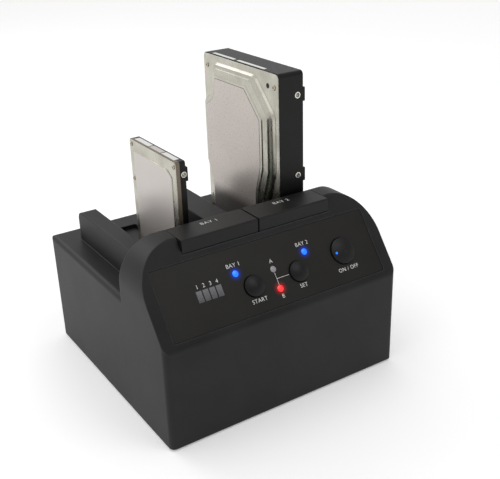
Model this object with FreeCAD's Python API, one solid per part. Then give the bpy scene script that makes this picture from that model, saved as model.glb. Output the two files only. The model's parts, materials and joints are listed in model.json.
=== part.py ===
"""Two-bay drive duplicator: a moulded case with a sloped control panel, eject keys, and one drive in each bay.

Frame: millimetres, +Z up, the front faces -Y, and the origin is under the middle of the case, where the feet stand.
"""
import FreeCAD, Part
import math
import os

V = FreeCAD.Vector

# ---------------------------------------------------------------- driving dimensions
# Case
WIDTH = 192.0
DEPTH = 188.0
WALL = 2.5
FOOT_STAND = 1.5                 # the case stands this far clear of the table
DECK_Z = 90.0                    # top of the rear deck
CREASE_Z = 75.0                  # where the front face turns into the sloped panel
SLOPE_RUN = 42.0                 # the panel leans back this far ...
SLOPE_RISE = 56.0                # ... while it rises this far
HUMP_BACK = 59.0                 # rear face of the hump, behind the front face
ARCH_RADIUS = 30.0               # top corners of the hump, seen from the front
CASE_CORNER = 4.0                # vertical edges and deck edges
RAIL_Z = 114.0                   # tops of the three drive rails
RAIL_INNER = 66.7
RAIL_OUTER = 79.6
RAIL_CENTRE_HALF = 10.5
RAIL_END = 165.0                 # rear end of the rails, behind the front face

# Bays: the same layout twice, BAY_PITCH apart
BAY_PITCH = 96.0
SLOT_HALF = 15.5
SLOT_FRONT = 63.0
SLOT_BACK = 166.5
SEAT_Z = 71.5                    # where the foot of a drive comes to rest
SOCKET_MID = 97.4                # middle of the 22-pin socket, behind the front face
BOARD_SIDE = 13.05               # circuit-board face of a seated drive, right of the slot's middle

# Eject mechanism
KEY_TRAVEL = 5.0
KEY_HALF_GAP = 0.7               # half of the split between the keys
KEY_RIB_HALF = 0.4               # half the thickness of the rib that stands in the split
KEY_REACH = 60.0                 # outer end of a key
KEY_FRONT = 35.3
KEY_BACK = 58.7
KEY_FOOT_Z = 113.0
KEY_CLEAR = 0.5
ROCKER_Y = 54.0                  # rocker pin, behind the front face
ROCKER_Z = 66.5
ROCKER_FRONT_ARM = 16.0
ROCKER_REAR_ARM = 17.5
ROCKER_OFFSET = 5.5              # middle of the rocker, right of the slot's middle
ROCKER_HALF = 1.5                # half the thickness of its arms
ROCKER_PIN_R = 1.5
RUNNING_CLEAR = 0.05
BODY_GAP = 0.3

# Drop-in flap
FLAP_PIN_R = 1.0
FLAP_AXIS_X = -16.7              # from the slot's middle
FLAP_AXIS_Z = 85.2
FLAP_THICK = 1.6

# Panel, in its own frame: x across, s up the slope from the crease, n outward
RECESS = 0.9
FILM = 0.45
PANEL_HALF = 87.0
PANEL_S = (4.5, 53.5)
BUTTON_TRAVEL = 1.0
RIM = 0.9                        # a button's straight side above the panel
CROWN = 1.5                      # rise of its dome above that
BUTTONS = {"start_button": (-18.5, 23.7, 7.3), "set_button": (18.5, 23.7, 7.3), "power_button": (59.0, 27.6, 9.6)}
POWER_LAMP_R = 0.9
POWER_LAMP_OUT = (-6.6, -0.5)    # its place on the power button, from the button's middle
LAMP_R = 2.2
LAMPS = {"bay_1_lamp": (-28.5, 35.6), "bay_2_lamp": (28.5, 35.6), "link_lamp": (0.0, 30.6), "copy_lamp": (0.0, 16.6)}
LEVEL_LEFT = -60.5
LEVEL_S = 24.3
LEVEL_BAR = (4.1, 7.8)
LEVEL_PITCH = 5.0
LEVEL_COUNT = 4
BOARD_DEPTH = 9.0                # control board below the panel's surface

# Drives, to their standard sizes
LARGE = {"thick": 26.1, "wide": 101.6, "tall": 147.0, "plug_side": 33.4}
COVER_RELIEF = 3.2               # the large cover's plateau stands this far out of its flange
SMALL = {"thick": 9.5, "wide": 69.85, "tall": 100.2, "plug_side": 30.1}

# ---------------------------------------------------------------- worked out from them
FRONT = -DEPTH / 2
HUMP_Z = CREASE_Z + SLOPE_RISE
SLOPE_LENGTH = math.hypot(SLOPE_RUN, SLOPE_RISE)
SLOPE_SIN = SLOPE_RISE / SLOPE_LENGTH
SLOPE_COS = SLOPE_RUN / SLOPE_LENGTH
CASE_Z = FOOT_STAND
BAYS = {1: -BAY_PITCH / 2, 2: BAY_PITCH / 2}
FLOOR_Z = 62.5                   # underside of the bay frame's floor, and top of the socket board
PANEL = FreeCAD.Placement(V(0, FRONT, CREASE_Z), FreeCAD.Rotation(V(1, 0, 0), math.degrees(math.asin(SLOPE_SIN))))


# ---------------------------------------------------------------- small tools
def box(x, y, z):
    """A block between three (low, high) pairs; y counts back from the front face."""
    return Part.makeBox(x[1] - x[0], y[1] - y[0], z[1] - z[0], V(x[0], FRONT + y[0], z[0]))


def rod(radius, start, end):
    """A round bar between two points; y counts back from the front face."""
    a = V(start[0], FRONT + start[1], start[2])
    b = V(end[0], FRONT + end[1], end[2])
    return Part.makeCylinder(radius, (b - a).Length, a, b - a)


def tube(outer, inner, start, end):
    """A round bar with a round bore."""
    return rod(outer, start, end).cut(rod(inner, start, end))


def rounded_face(corners, place):
    """A flat face with the given corners (u, v, radius), put in space by place(u, v)."""
    count = len(corners)
    edges = []
    starts = []
    for i, (u, v, radius) in enumerate(corners):
        here = V(u, v, 0)
        back = V(corners[i - 1][0], corners[i - 1][1], 0) - here
        ahead = V(corners[(i + 1) % count][0], corners[(i + 1) % count][1], 0) - here
        back.normalize()
        ahead.normalize()
        half = back.getAngle(ahead) / 2
        run = radius / math.tan(half)
        middle = back + ahead
        middle.normalize()
        tip = here + middle * (radius / math.sin(half) - radius)
        starts.append((here + back * run, tip, here + ahead * run, radius))
    for i, (first, tip, last, radius) in enumerate(starts):
        following = starts[(i + 1) % count][0]
        if radius > 0:
            arc = Part.Arc(place(first.x, first.y), place(tip.x, tip.y), place(last.x, last.y))
            edges.append(arc.toShape())
        if (following - last).Length > 1e-6:
            edges.append(Part.LineSegment(place(last.x, last.y), place(following.x, following.y)).toShape())
    return Part.Face(Part.Wire(edges))


def side_profile(corners, x):
    """Corners (y, z, radius) seen from the side, drawn out between two x values."""
    face = rounded_face(corners, lambda y, z: V(x[0], FRONT + y, z))
    return face.extrude(V(x[1] - x[0], 0, 0))


def front_profile(corners, y):
    """Corners (x, z, radius) seen from the front, drawn back between two depths."""
    face = rounded_face(corners, lambda u, z: V(u, FRONT + y[0], z))
    return face.extrude(V(0, y[1] - y[0], 0))


def top_profile(corners, z):
    """Corners (x, y, radius) seen from above, drawn up between two heights."""
    face = rounded_face(corners, lambda u, y: V(u, FRONT + y, z[0]))
    return face.extrude(V(0, 0, z[1] - z[0]))


def rectangle(u, v, radius):
    """The four corners of a rounded rectangle between two (low, high) pairs."""
    return [(u[0], v[0], radius), (u[1], v[0], radius), (u[1], v[1], radius), (u[0], v[1], radius)]


def panel_block(x, s, n, radius=0.0):
    """A block on the panel: across, up the slope, and outward."""
    face = rounded_face(rectangle(x, s, radius), lambda u, v: V(u, v, n[0]))
    return on_panel(face.extrude(V(0, 0, n[1] - n[0])))


def panel_rod(radius, x, s, n):
    """A round bar standing on the panel between two outward heights."""
    return on_panel(Part.makeCylinder(radius, n[1] - n[0], V(x, s, n[0])))


def on_panel(shape):
    """Moves a shape from the panel's frame into the part's frame."""
    shape.Placement = PANEL.multiply(shape.Placement)
    return shape


def group(shapes):
    """Several separate solids that share one node."""
    return Part.makeCompound(shapes)


def fuse_all(shapes):
    """One solid from touching or overlapping ones."""
    whole = shapes[0].multiFuse(shapes[1:])
    return whole.removeSplitter()


def cut_all(shape, tools):
    """A solid with several others taken out of it."""
    return shape.cut(Part.makeCompound(tools))


def export(name, shape):
    """Writes one node."""
    solids = shape.Solids
    made = solids[0] if len(solids) == 1 else Part.makeCompound(solids)
    print("%-22s %2d solid(s) %8.2f cm3 valid %s" % (name, len(solids), made.Volume / 1000, made.isValid()))
    made.exportStep("parts/" + name + ".step")


# ---------------------------------------------------------------- case
def case_form(inset):
    """The case with its hump, moved in by a wall thickness: 0 gives the outside, WALL gives the cavity."""
    half = WIDTH / 2 - inset
    low = CASE_Z - (1.0 if inset else 0.0)
    crease = CREASE_Z - inset * (1 - SLOPE_SIN) / SLOPE_COS
    slope_top = SLOPE_RUN + inset * (1 - SLOPE_COS) / SLOPE_SIN
    top = HUMP_Z - inset
    corner = CASE_CORNER - inset
    plan = top_profile(rectangle((-half, half), (inset, DEPTH - inset), corner), (low, top + 5))
    deck = front_profile(
        [(-half, low, 0), (half, low, 0), (half, DECK_Z - inset, corner), (-half, DECK_Z - inset, corner)],
        (inset, DEPTH - inset),
    )
    deck_side = side_profile(
        [(0, low, 0), (DEPTH - inset, low, 0), (DEPTH - inset, DECK_Z - inset, corner), (0, DECK_Z - inset, 0)],
        (-half, half),
    )
    hump_side = side_profile(
        [(inset, low, 0), (HUMP_BACK - inset, low, 0), (HUMP_BACK - inset, top, 1.5),
         (slope_top, top, 3.0), (inset, crease, 6.0)],
        (-half, half),
    )
    hump_arch = front_profile(
        [(-half, low, 0), (half, low, 0), (half, top, ARCH_RADIUS - inset), (-half, top, ARCH_RADIUS - inset)],
        (0, HUMP_BACK + 1),
    )
    body = deck.common(deck_side).cut(box((-WIDTH, WIDTH), (-1, HUMP_BACK / 2), (0, HUMP_Z)))
    hump = hump_side.common(hump_arch)
    return body.fuse(hump).common(plan).removeSplitter()


def rail(x, inset):
    """A raised rail that steadies a drive; its rear top corner is rounded."""
    top = RAIL_Z - inset
    corner = 7.0 - inset
    block = side_profile(
        [(HUMP_BACK - 5, DECK_Z - 10, 0), (RAIL_END - inset, DECK_Z - 10, 0), (RAIL_END - inset, top, corner),
         (HUMP_BACK - 5, top, 0)],
        (x[0] + inset, x[1] - inset),
    )
    edge = max(1.2 - inset, 0)
    shape = front_profile(
        [(x[0] + inset, DECK_Z - 10, 0), (x[1] - inset, DECK_Z - 10, 0), (x[1] - inset, top, edge),
         (x[0] + inset, top, edge)],
        (HUMP_BACK - 5, RAIL_END),
    )
    return block.common(shape)


def rails(inset):
    """The left, centre and right rails."""
    return [
        rail((-RAIL_OUTER, -RAIL_INNER), inset),
        rail((-RAIL_CENTRE_HALF, RAIL_CENTRE_HALF), inset),
        rail((RAIL_INNER, RAIL_OUTER), inset),
    ]


def case_bosses():
    """Screw towers in the four corners of the case, with their pilot holes."""
    towers = []
    for x in (-84, 84):
        for y in (12, 176):
            towers.append(tube(4.0, 1.3, (x, y, CASE_Z + 2.5), (x, y, DECK_Z)))
    return towers


def make_upper_housing():
    """The moulded upper case: walls, deck, rails, hump, key notch, panel recess and ports."""
    outside = case_form(0)
    shell = outside.fuse(rails(0)).cut(case_form(WALL).fuse(rails(1.8)))
    key_pocket_walls = [
        box((side * (KEY_REACH + KEY_CLEAR), side * (KEY_REACH + KEY_CLEAR + 2))[::side],
            (KEY_FRONT - KEY_CLEAR, HUMP_BACK - 1), (106, HUMP_Z)).common(outside)
        for side in (-1, 1)
    ]
    towers = [tower.common(outside) for tower in case_bosses()]
    shell = fuse_all([shell] + key_pocket_walls + towers)
    key_half = KEY_REACH + KEY_CLEAR
    cuts = [box((-key_half, key_half), (KEY_FRONT - KEY_CLEAR, HUMP_BACK + 1), (106, HUMP_Z + 1))]
    for middle in BAYS.values():
        slot = rectangle((middle - SLOT_HALF, middle + SLOT_HALF), (SLOT_FRONT, SLOT_BACK), 1.5)
        cuts.append(top_profile(slot, (DECK_Z - 8, DECK_Z + 2)))
    cuts.append(panel_block((-PANEL_HALF, PANEL_HALF), PANEL_S, (-RECESS, 5), 1.5))
    for x, s, radius in BUTTONS.values():
        cuts.append(panel_rod(radius + 0.4, x, s, (-6, 5)))
    for x, s in LAMPS.values():
        cuts.append(panel_rod(LAMP_R, x, s, (-6, 5)))
    window = (LEVEL_LEFT, LEVEL_LEFT + LEVEL_PITCH * (LEVEL_COUNT - 1) + LEVEL_BAR[0])
    cuts.append(panel_block(window, (LEVEL_S, LEVEL_S + LEVEL_BAR[1]), (-6, 5)))
    cuts.append(box((-46.2, -33.8), (DEPTH - 5, DEPTH + 1), (15.4, 26.8)))
    cuts.append(box((35.3, 44.7), (DEPTH - 5, DEPTH + 1), (15.4, 26.8)))
    return cut_all(shell, cuts)


def make_base_plate():
    """The bottom cover: countersunk screw holes, foot recesses, vent slots and standoffs for the main board."""
    inner = WIDTH / 2 - WALL - 0.2
    plate = top_profile(rectangle((-inner, inner), (WALL + 0.2, DEPTH - WALL - 0.2), 2.0), (CASE_Z, CASE_Z + 2.5))
    standoffs = [
        rod(3.5, (x, y, CASE_Z + 2), (x, y, 14.0))
        for x in (-68, 68)
        for y in (76, 178)
    ]
    tools = []
    for x in (-84, 84):
        for y in (12, 176):
            tools.append(rod(1.8, (x, y, 0), (x, y, 8)))
            tools.append(rod(3.2, (x, y, 0), (x, y, CASE_Z + 1.2)))
    for x in (-68, 68):
        for y in (28, 160):
            tools.append(rod(6.2, (x, y, 0), (x, y, CASE_Z + 0.8)))
    for row in range(9):
        for x in (-40, 6):
            y = 62 + 8 * row
            tools.append(top_profile(rectangle((x, x + 34), (y, y + 2.6), 1.3), (0, 8)))
    pilots = [rod(1.1, (x, y, 6), (x, y, 15)) for x in (-68, 68) for y in (76, 178)]
    return cut_all(fuse_all([plate] + standoffs), tools + pilots)


def make_feet():
    """Four rubber feet bonded into the recesses of the base plate."""
    return group([
        tube(6.0, 2.0, (x, y, 0), (x, y, CASE_Z + 0.8))
        for x in (-68, 68)
        for y in (28, 160)
    ])


def make_case_screws():
    """Four pan-head screws that pull the base plate up against the towers."""
    screws = []
    for x in (-84, 84):
        for y in (12, 176):
            head = rod(2.9, (x, y, CASE_Z - 0.6), (x, y, CASE_Z + 1.2))
            shank = rod(1.28, (x, y, CASE_Z + 1.2), (x, y, CASE_Z + 12))
            screws.append(head.fuse(shank).removeSplitter())
    return group(screws)


# ---------------------------------------------------------------- panel
def make_control_film():
    """The printed film that lies in the panel's recess, punched for buttons, lamps and the level bars."""
    film = panel_block((-PANEL_HALF + 0.2, PANEL_HALF - 0.2), (PANEL_S[0] + 0.2, PANEL_S[1] - 0.2),
                       (-RECESS, -RECESS + FILM), 1.4)
    tools = [panel_rod(radius + 0.5, x, s, (-3, 3)) for x, s, radius in BUTTONS.values()]
    tools += [panel_rod(LAMP_R, x, s, (-3, 3)) for x, s in LAMPS.values()]
    for i in range(LEVEL_COUNT):
        x = LEVEL_LEFT + LEVEL_PITCH * i
        tools.append(panel_block((x, x + LEVEL_BAR[0]), (LEVEL_S, LEVEL_S + LEVEL_BAR[1]), (-3, 3)))
    return cut_all(film, tools)


def make_level_window():
    """A diffuser with four raised bars that fill the openings of the film."""
    width = LEVEL_PITCH * (LEVEL_COUNT - 1) + LEVEL_BAR[0]
    plate = panel_block((LEVEL_LEFT - 2, LEVEL_LEFT + width + 2), (LEVEL_S - 2, LEVEL_S + LEVEL_BAR[1] + 2),
                        (-WALL - 1.2, -WALL))
    core = panel_block((LEVEL_LEFT, LEVEL_LEFT + width), (LEVEL_S, LEVEL_S + LEVEL_BAR[1]), (-WALL, -RECESS))
    bars = [
        panel_block((LEVEL_LEFT + LEVEL_PITCH * i, LEVEL_LEFT + LEVEL_PITCH * i + LEVEL_BAR[0]),
                    (LEVEL_S, LEVEL_S + LEVEL_BAR[1]), (-RECESS, -RECESS + FILM))
        for i in range(LEVEL_COUNT)
    ]
    return fuse_all([plate, core] + bars)


def make_lamp(x, s):
    """A light pipe: a round bar with a collar behind the panel and a low domed end."""
    bar = panel_rod(LAMP_R, x, s, (-6.5, -RECESS + FILM))
    collar = panel_rod(LAMP_R + 1.0, x, s, (-WALL - 1.0, -WALL))
    ball_r = 9.0
    drop = math.sqrt(ball_r ** 2 - LAMP_R ** 2)
    ball = on_panel(Part.makeSphere(ball_r, V(x, s, -RECESS + FILM - drop)))
    dome = ball.common(panel_rod(LAMP_R, x, s, (-RECESS + FILM - 0.01, 1)))
    return fuse_all([bar, collar, dome])


def dome_height(radius, out):
    """How far a button's surface stands out of the panel at a distance from the button's middle."""
    ball_r = (radius ** 2 + CROWN ** 2) / (2 * CROWN)
    return RIM + CROWN - ball_r + math.sqrt(ball_r ** 2 - out ** 2)


def make_button(x, s, radius):
    """A domed push button with a retaining flange and a stem over its switch."""
    rim = RIM
    crown = CROWN
    ball_r = (radius ** 2 + crown ** 2) / (2 * crown)
    body = Part.makeCylinder(radius, rim + WALL + BODY_GAP, V(x, s, -WALL - BODY_GAP))
    dome = Part.makeSphere(ball_r, V(x, s, rim + crown - ball_r))
    dome = dome.common(Part.makeCylinder(radius, crown + 1, V(x, s, rim - 0.01)))
    flange = Part.makeCylinder(radius + 1.2, 1.2, V(x, s, -WALL - BODY_GAP - 1.2))
    stem = Part.makeCylinder(1.8, 2.0, V(x, s, -WALL - BODY_GAP - 1.5))
    return on_panel(fuse_all([body, dome, flange, stem]))


def power_lamp_spot():
    """The middle of the small lamp in the power button, on the panel."""
    x, s, _ = BUTTONS["power_button"]
    return x + POWER_LAMP_OUT[0], s + POWER_LAMP_OUT[1]


def make_power_button():
    """The power button: a larger dome with a finger dimple in the middle and a hole for its lamp."""
    x, s, radius = BUTTONS["power_button"]
    top = RIM + CROWN
    ball = on_panel(Part.makeSphere(2.4, V(x, s, top + 1.9)))
    ring = on_panel(Part.makeTorus(2.5, 0.3, V(x, s, top + 0.12)))
    lamp_x, lamp_s = power_lamp_spot()
    return cut_all(make_button(x, s, radius), [ball, ring, panel_rod(POWER_LAMP_R, lamp_x, lamp_s, (-6, 4))])


def make_power_lamp():
    """The light pipe that fills the hole in the power button."""
    lamp_x, lamp_s = power_lamp_spot()
    out = math.hypot(*POWER_LAMP_OUT)
    top = dome_height(BUTTONS["power_button"][2], out)
    return panel_rod(POWER_LAMP_R, lamp_x, lamp_s, (-WALL - BODY_GAP, top))


def make_control_board():
    """The board under the panel, seen as a plain glass-fibre sheet with two fixing holes."""
    board = panel_block((-75, 75), (9, 45), (-BOARD_DEPTH - 1.6, -BOARD_DEPTH), 1.0)
    return cut_all(board, [panel_rod(1.6, x, 38, (-14, 0)) for x in (-68, 36)])


def make_board_posts():
    """Two posts that carry the control board below the panel."""
    posts = [panel_rod(3.0, x, 38, (-BOARD_DEPTH, -WALL)) for x in (-68, 36)]
    pegs = [panel_rod(1.55, x, 38, (-BOARD_DEPTH - 3, -BOARD_DEPTH)) for x in (-68, 36)]
    return group([post.fuse(peg).removeSplitter() for post, peg in zip(posts, pegs)])


def make_switches():
    """Three tact switches on the control board, under the buttons."""
    height = BOARD_DEPTH - WALL - BODY_GAP - 1.5 - BUTTON_TRAVEL - 0.2
    made = []
    for x, s, _ in BUTTONS.values():
        body = panel_block((x - 3, x + 3), (s - 3, s + 3), (-BOARD_DEPTH, -BOARD_DEPTH + height - 0.8))
        plunger = panel_rod(1.7, x, s, (-BOARD_DEPTH + height - 0.8, -BOARD_DEPTH + height))
        made.append(body.fuse(plunger).removeSplitter())
    return group(made)


def make_lamp_chips():
    """Light sources on the control board: one below each light pipe and one below the level window."""
    places = list(LAMPS.values()) + [(LEVEL_LEFT + 9.5, LEVEL_S + 3.9)]
    return group([panel_block((x - 1.6, x + 1.6), (s - 1.4, s + 1.4), (-BOARD_DEPTH, -BOARD_DEPTH + 1.5))
                  for x, s in places])


# ---------------------------------------------------------------- eject mechanism
def key_span(bay):
    """The x range of a bay's eject key."""
    return (-KEY_REACH, -KEY_HALF_GAP) if bay == 1 else (KEY_HALF_GAP, KEY_REACH)


def spring_spots(bay):
    """Where the two return springs of a key stand."""
    low, high = key_span(bay)
    return [(low + 12, 49.5), (high - 12, 49.5)]


def make_eject_key(bay):
    """A big flat-topped key: a hollow cap, a push leg over the rocker and two spring pegs."""
    low, high = key_span(bay)
    cap = side_profile(
        [(KEY_FRONT, KEY_FOOT_Z, 0), (KEY_BACK, KEY_FOOT_Z, 0), (KEY_BACK, HUMP_Z, 1.2), (KEY_FRONT, HUMP_Z, 1.2)],
        (low, high),
    )
    hollow = box((low + 2, high - 2), (KEY_FRONT + 2, KEY_BACK - 2), (KEY_FOOT_Z - 1, HUMP_Z - 2.2))
    middle = BAYS[bay] + ROCKER_OFFSET
    leg_front = KEY_FRONT + 1.2
    leg_foot = ROCKER_Z + ROCKER_HALF + BODY_GAP
    leg = side_profile(
        [(leg_front, leg_foot, 1.99), (leg_front + 4, leg_foot, 1.99),
         (leg_front + 4, HUMP_Z - 1.5, 0), (leg_front, HUMP_Z - 1.5, 0)],
        (middle - 3, middle + 3),
    )
    web = box((middle - 1, middle + 1), (KEY_FRONT + 5, KEY_BACK - 1.5), (HUMP_Z - 10, HUMP_Z - 1.5))
    pegs = [rod(2.0, (x, y, HUMP_Z - 9), (x, y, HUMP_Z - 1.5)) for x, y in spring_spots(bay)]
    return fuse_all([cap.cut(hollow), leg, web] + pegs)


def make_key_frame():
    """A shelf across the hump that carries the key springs, with a thin rib that fills the split between the keys."""
    shelf = box((-62, 62), (42.0, HUMP_BACK - WALL), (99.5, 102.0))
    flange = box((-62, 62), (HUMP_BACK - WALL - 2, HUMP_BACK - WALL), (93.0, 105.0))
    gussets = [
        side_profile([(44, 100, 0), (HUMP_BACK - WALL - 1, 100, 0), (HUMP_BACK - WALL - 1, 93, 0)], (x, x + 2))
        for x in (-58, -32, -1, 30, 56)
    ]
    pegs = [rod(2.0, (x, y, 101.5), (x, y, 107.0)) for bay in BAYS for x, y in spring_spots(bay)]
    rib = side_profile(
        [(KEY_FRONT + 0.9, 101.0, 0), (HUMP_BACK - WALL - 0.1, 101.0, 0), (HUMP_BACK - WALL - 0.1, 106.5, 0),
         (KEY_BACK - 0.3, 106.5, 0), (KEY_BACK - 0.3, HUMP_Z - 1, 0), (KEY_FRONT + 0.9, HUMP_Z - 1, 0)],
        (-KEY_RIB_HALF, KEY_RIB_HALF),
    )
    return fuse_all([shelf, flange, rib] + gussets + pegs)


def make_key_springs(bay):
    """The two return springs of a key, each as the sleeve that its coils fill."""
    return group([tube(3.4, 2.4, (x, y, 102.0), (x, y, HUMP_Z - 2.2)) for x, y in spring_spots(bay)])


def make_rocker(bay):
    """The rocker that turns the key's push into the lifter's rise: two arms with rounded ends on a hub."""
    middle = BAYS[bay] + ROCKER_OFFSET
    x = (middle - 2.5, middle + 2.5)
    front_tip = ROCKER_Y - ROCKER_FRONT_ARM
    rear_tip = ROCKER_Y + ROCKER_REAR_ARM
    depth = (front_tip - ROCKER_HALF, rear_tip + ROCKER_HALF)
    height = (ROCKER_Z - ROCKER_HALF, ROCKER_Z + ROCKER_HALF)
    arms = side_profile(rectangle(depth, height, ROCKER_HALF - 0.01), x)
    hub = rod(3.4, (x[0], ROCKER_Y, ROCKER_Z), (x[1], ROCKER_Y, ROCKER_Z))
    bore = rod(ROCKER_PIN_R + RUNNING_CLEAR, (x[0] - 1, ROCKER_Y, ROCKER_Z), (x[1] + 1, ROCKER_Y, ROCKER_Z))
    return fuse_all([arms, hub]).cut(bore)


def make_rocker_pin(bay):
    """The steel pin that the rocker turns on."""
    middle = BAYS[bay] + ROCKER_OFFSET
    return rod(ROCKER_PIN_R, (middle - 5.8, ROCKER_Y, ROCKER_Z), (middle + 5.8, ROCKER_Y, ROCKER_Z))


def leg_spots(bay):
    """Lower corners (x, y) of the lifter's two guide legs."""
    middle = BAYS[bay]
    return [(middle + 10.0, 72.0), (middle + 7.0, 122.5)]


def make_lifter(bay):
    """The yoke that raises a drive: two pads joined by a bar beside the socket, on two guide legs."""
    middle = BAYS[bay]
    z = (ROCKER_Z + ROCKER_HALF + BODY_GAP, SEAT_Z - BODY_GAP)
    pads = [box((middle + 3.8, middle + 12.8), span, z) for span in ((68.5, 75.0), (120.5, 127.0))]
    bar = box((middle + 3.8, middle + 5.8), (68.5, 127.0), z)
    legs = [box((x, x + 2.5), (y, y + 2.6), (54.0, z[1] - 1)) for x, y in leg_spots(bay)]
    return fuse_all(pads + [bar] + legs)


def make_bay_frame(bay):
    """The inner frame of a bay: four walls under the slot, half a floor, and ears for the rocker pin."""
    middle = BAYS[bay]
    x = (middle - 20.2, middle + 17.0)
    y = (SLOT_FRONT - 1.5, SLOT_BACK + 1.5)
    floor_left = middle + 1.8
    outer = box(x, y, (FLOOR_Z, DECK_Z - WALL))
    inner = box((x[0] + 1.5, x[1] - 1.5), (SLOT_FRONT, SLOT_BACK), (FLOOR_Z - 1, DECK_Z))
    floor = box((floor_left, x[1] - 1), (SLOT_FRONT - 1, 137.0), (FLOOR_Z, FLOOR_Z + 2))
    rocker = middle + ROCKER_OFFSET
    ears = [
        side_profile([(49.5, 63, 3.0), (SLOT_FRONT - 1, 63, 0), (SLOT_FRONT - 1, 78, 0), (49.5, 70, 3.0)], span)
        for span in ((rocker - 5.8, rocker - 3.1), (rocker + 3.1, rocker + 5.8))
    ]
    frame = fuse_all([outer.cut(inner), floor] + ears)
    tools = [
        box((rocker - 2.9, rocker + 2.9), (SLOT_FRONT - 3, SLOT_FRONT + 1), (FLOOR_Z + 2, FLOOR_Z + 11)),
        rod(ROCKER_PIN_R, (rocker - 7, ROCKER_Y, ROCKER_Z), (rocker + 7, ROCKER_Y, ROCKER_Z)),
        box((middle + BOARD_SIDE - 6.6, middle + BOARD_SIDE - 0.4), (SOCKET_MID - 21.4, SOCKET_MID + 21.4),
            (FLOOR_Z - 1, FLOOR_Z + 3)),
        rod(FLAP_PIN_R, (middle + FLAP_AXIS_X, SLOT_FRONT - 3, FLAP_AXIS_Z),
            (middle + FLAP_AXIS_X, SLOT_BACK + 3, FLAP_AXIS_Z)),
    ]
    for leg_x, leg_y in leg_spots(bay):
        tools.append(box((leg_x - BODY_GAP, leg_x + 2.5 + BODY_GAP), (leg_y - BODY_GAP, leg_y + 2.6 + BODY_GAP),
                         (FLOOR_Z - 1, FLOOR_Z + 3)))
    return cut_all(frame, tools)


# ---------------------------------------------------------------- flaps
def make_flap(bay, opened):
    """The drop-in flap: a plate cut back beside a small drive, on two barrels, spring-held shut."""
    middle = BAYS[bay]
    axis = middle + FLAP_AXIS_X
    z = (FLAP_AXIS_Z + 0.2, FLAP_AXIS_Z + 0.2 + FLAP_THICK)
    strip = box((axis, middle + 1.6), (SLOT_FRONT + 0.8, SLOT_BACK - 1), z)
    rear = box((axis, middle + SLOT_HALF - 0.7), (139.0, SLOT_BACK - 1), z)
    rib = box((axis + 4, middle + SLOT_HALF - 2.5), (150.0, 151.5), (z[0] - 1.6, z[0] + 0.1))
    barrel_runs = ((66.0, 82.0), (148.0, 164.0))
    barrels = [rod(1.8, (axis, a, FLAP_AXIS_Z), (axis, b, FLAP_AXIS_Z)) for a, b in barrel_runs]
    flap = fuse_all([strip, rear, rib] + barrels)
    bore = rod(FLAP_PIN_R + RUNNING_CLEAR, (axis, 60, FLAP_AXIS_Z), (axis, 170, FLAP_AXIS_Z))
    relief = box((axis - 3, axis + 2.2), (82.0, 148.0), (FLAP_AXIS_Z - 3, FLAP_AXIS_Z + 3))
    flap = cut_all(flap, [bore, relief])
    if opened:
        flap.rotate(V(axis, 0, FLAP_AXIS_Z), V(0, 1, 0), 90)
    return flap


def make_flap_pin(bay):
    """The steel pin of a flap, fixed in the bay frame's end walls."""
    axis = BAYS[bay] + FLAP_AXIS_X
    return rod(FLAP_PIN_R, (axis, SLOT_FRONT - 1.5, FLAP_AXIS_Z), (axis, SLOT_BACK + 1.5, FLAP_AXIS_Z))


def make_flap_spring(bay):
    """The torsion spring of a flap, as the sleeve that its coils fill, round the middle of the pin."""
    axis = BAYS[bay] + FLAP_AXIS_X
    return tube(1.7, FLAP_PIN_R + 0.1, (axis, 106, FLAP_AXIS_Z), (axis, 118, FLAP_AXIS_Z))


# ---------------------------------------------------------------- boards, sockets and ports
def make_socket_board():
    """The board under both bay frames that carries the two drive sockets."""
    board = box((BAYS[1] + 1.8, BAYS[2] + 17.0), (70.0, 137.0), (FLOOR_Z - 1.6, FLOOR_Z))
    tools = []
    for bay in BAYS:
        for x, y in leg_spots(bay):
            tools.append(box((x - 0.6, x + 3.1), (y - 0.6, y + 3.2), (FLOOR_Z - 3, FLOOR_Z + 1)))
    return cut_all(board, tools)


def make_socket(bay):
    """A 22-pin drive socket: a tall block with a short slot for data and a long slot for power."""
    mid = BAYS[bay] + BOARD_SIDE - 3.5
    body = box((mid - 2.6, mid + 2.6), (SOCKET_MID - 21, SOCKET_MID + 21), (FLOOR_Z, SEAT_Z + 5.5))
    slots = []
    for a, b, key in ((-18.6, -5.9, -7.1), (-2.8, 18.9, -2.8)):
        slots.append(box((mid - 0.95, mid + 0.95), (SOCKET_MID + a, SOCKET_MID + b), (SEAT_Z - 1.2, SEAT_Z + 8)))
        slots.append(box((mid - 1.9, mid), (SOCKET_MID + key, SOCKET_MID + key + 1.2), (SEAT_Z - 1.2, SEAT_Z + 8)))
    return cut_all(body, slots)


def make_main_board():
    """The main board on the base plate's standoffs, notched round the screw towers."""
    return box((-76, 76), (70, DEPTH - WALL - 2.0), (14.0, 15.6))


def make_riser_board():
    """A riser card that joins the main board to the socket board."""
    card = box((-14, 34), (100, 101.6), (20.0, FLOOR_Z - 4.0))
    return card


def make_riser_sockets():
    """The two card-edge sockets that hold the riser card."""
    made = []
    for z in ((15.6, 23.0), (FLOOR_Z - 8.0, FLOOR_Z - 1.6)):
        block = box((-17, 37), (97.8, 103.8), z)
        made.append(block.cut(box((-14, 34), (100, 101.6), (20.0, FLOOR_Z - 4.0))))
    return group(made)


def make_board_screws():
    """Pan-head screws: four in the main board's standoffs and four up into the bay frames."""
    screws = []
    for x in (-68, 68):
        for y in (76, 178):
            head = rod(2.6, (x, y, 15.6), (x, y, 17.4))
            screws.append(head)
    for bay, middle in BAYS.items():
        for y in (86.0, 132.0):
            screws.append(rod(2.2, (middle + 14.2, y, FLOOR_Z - 3.2), (middle + 14.2, y, FLOOR_Z - 1.6)))
    return group(screws)


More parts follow.
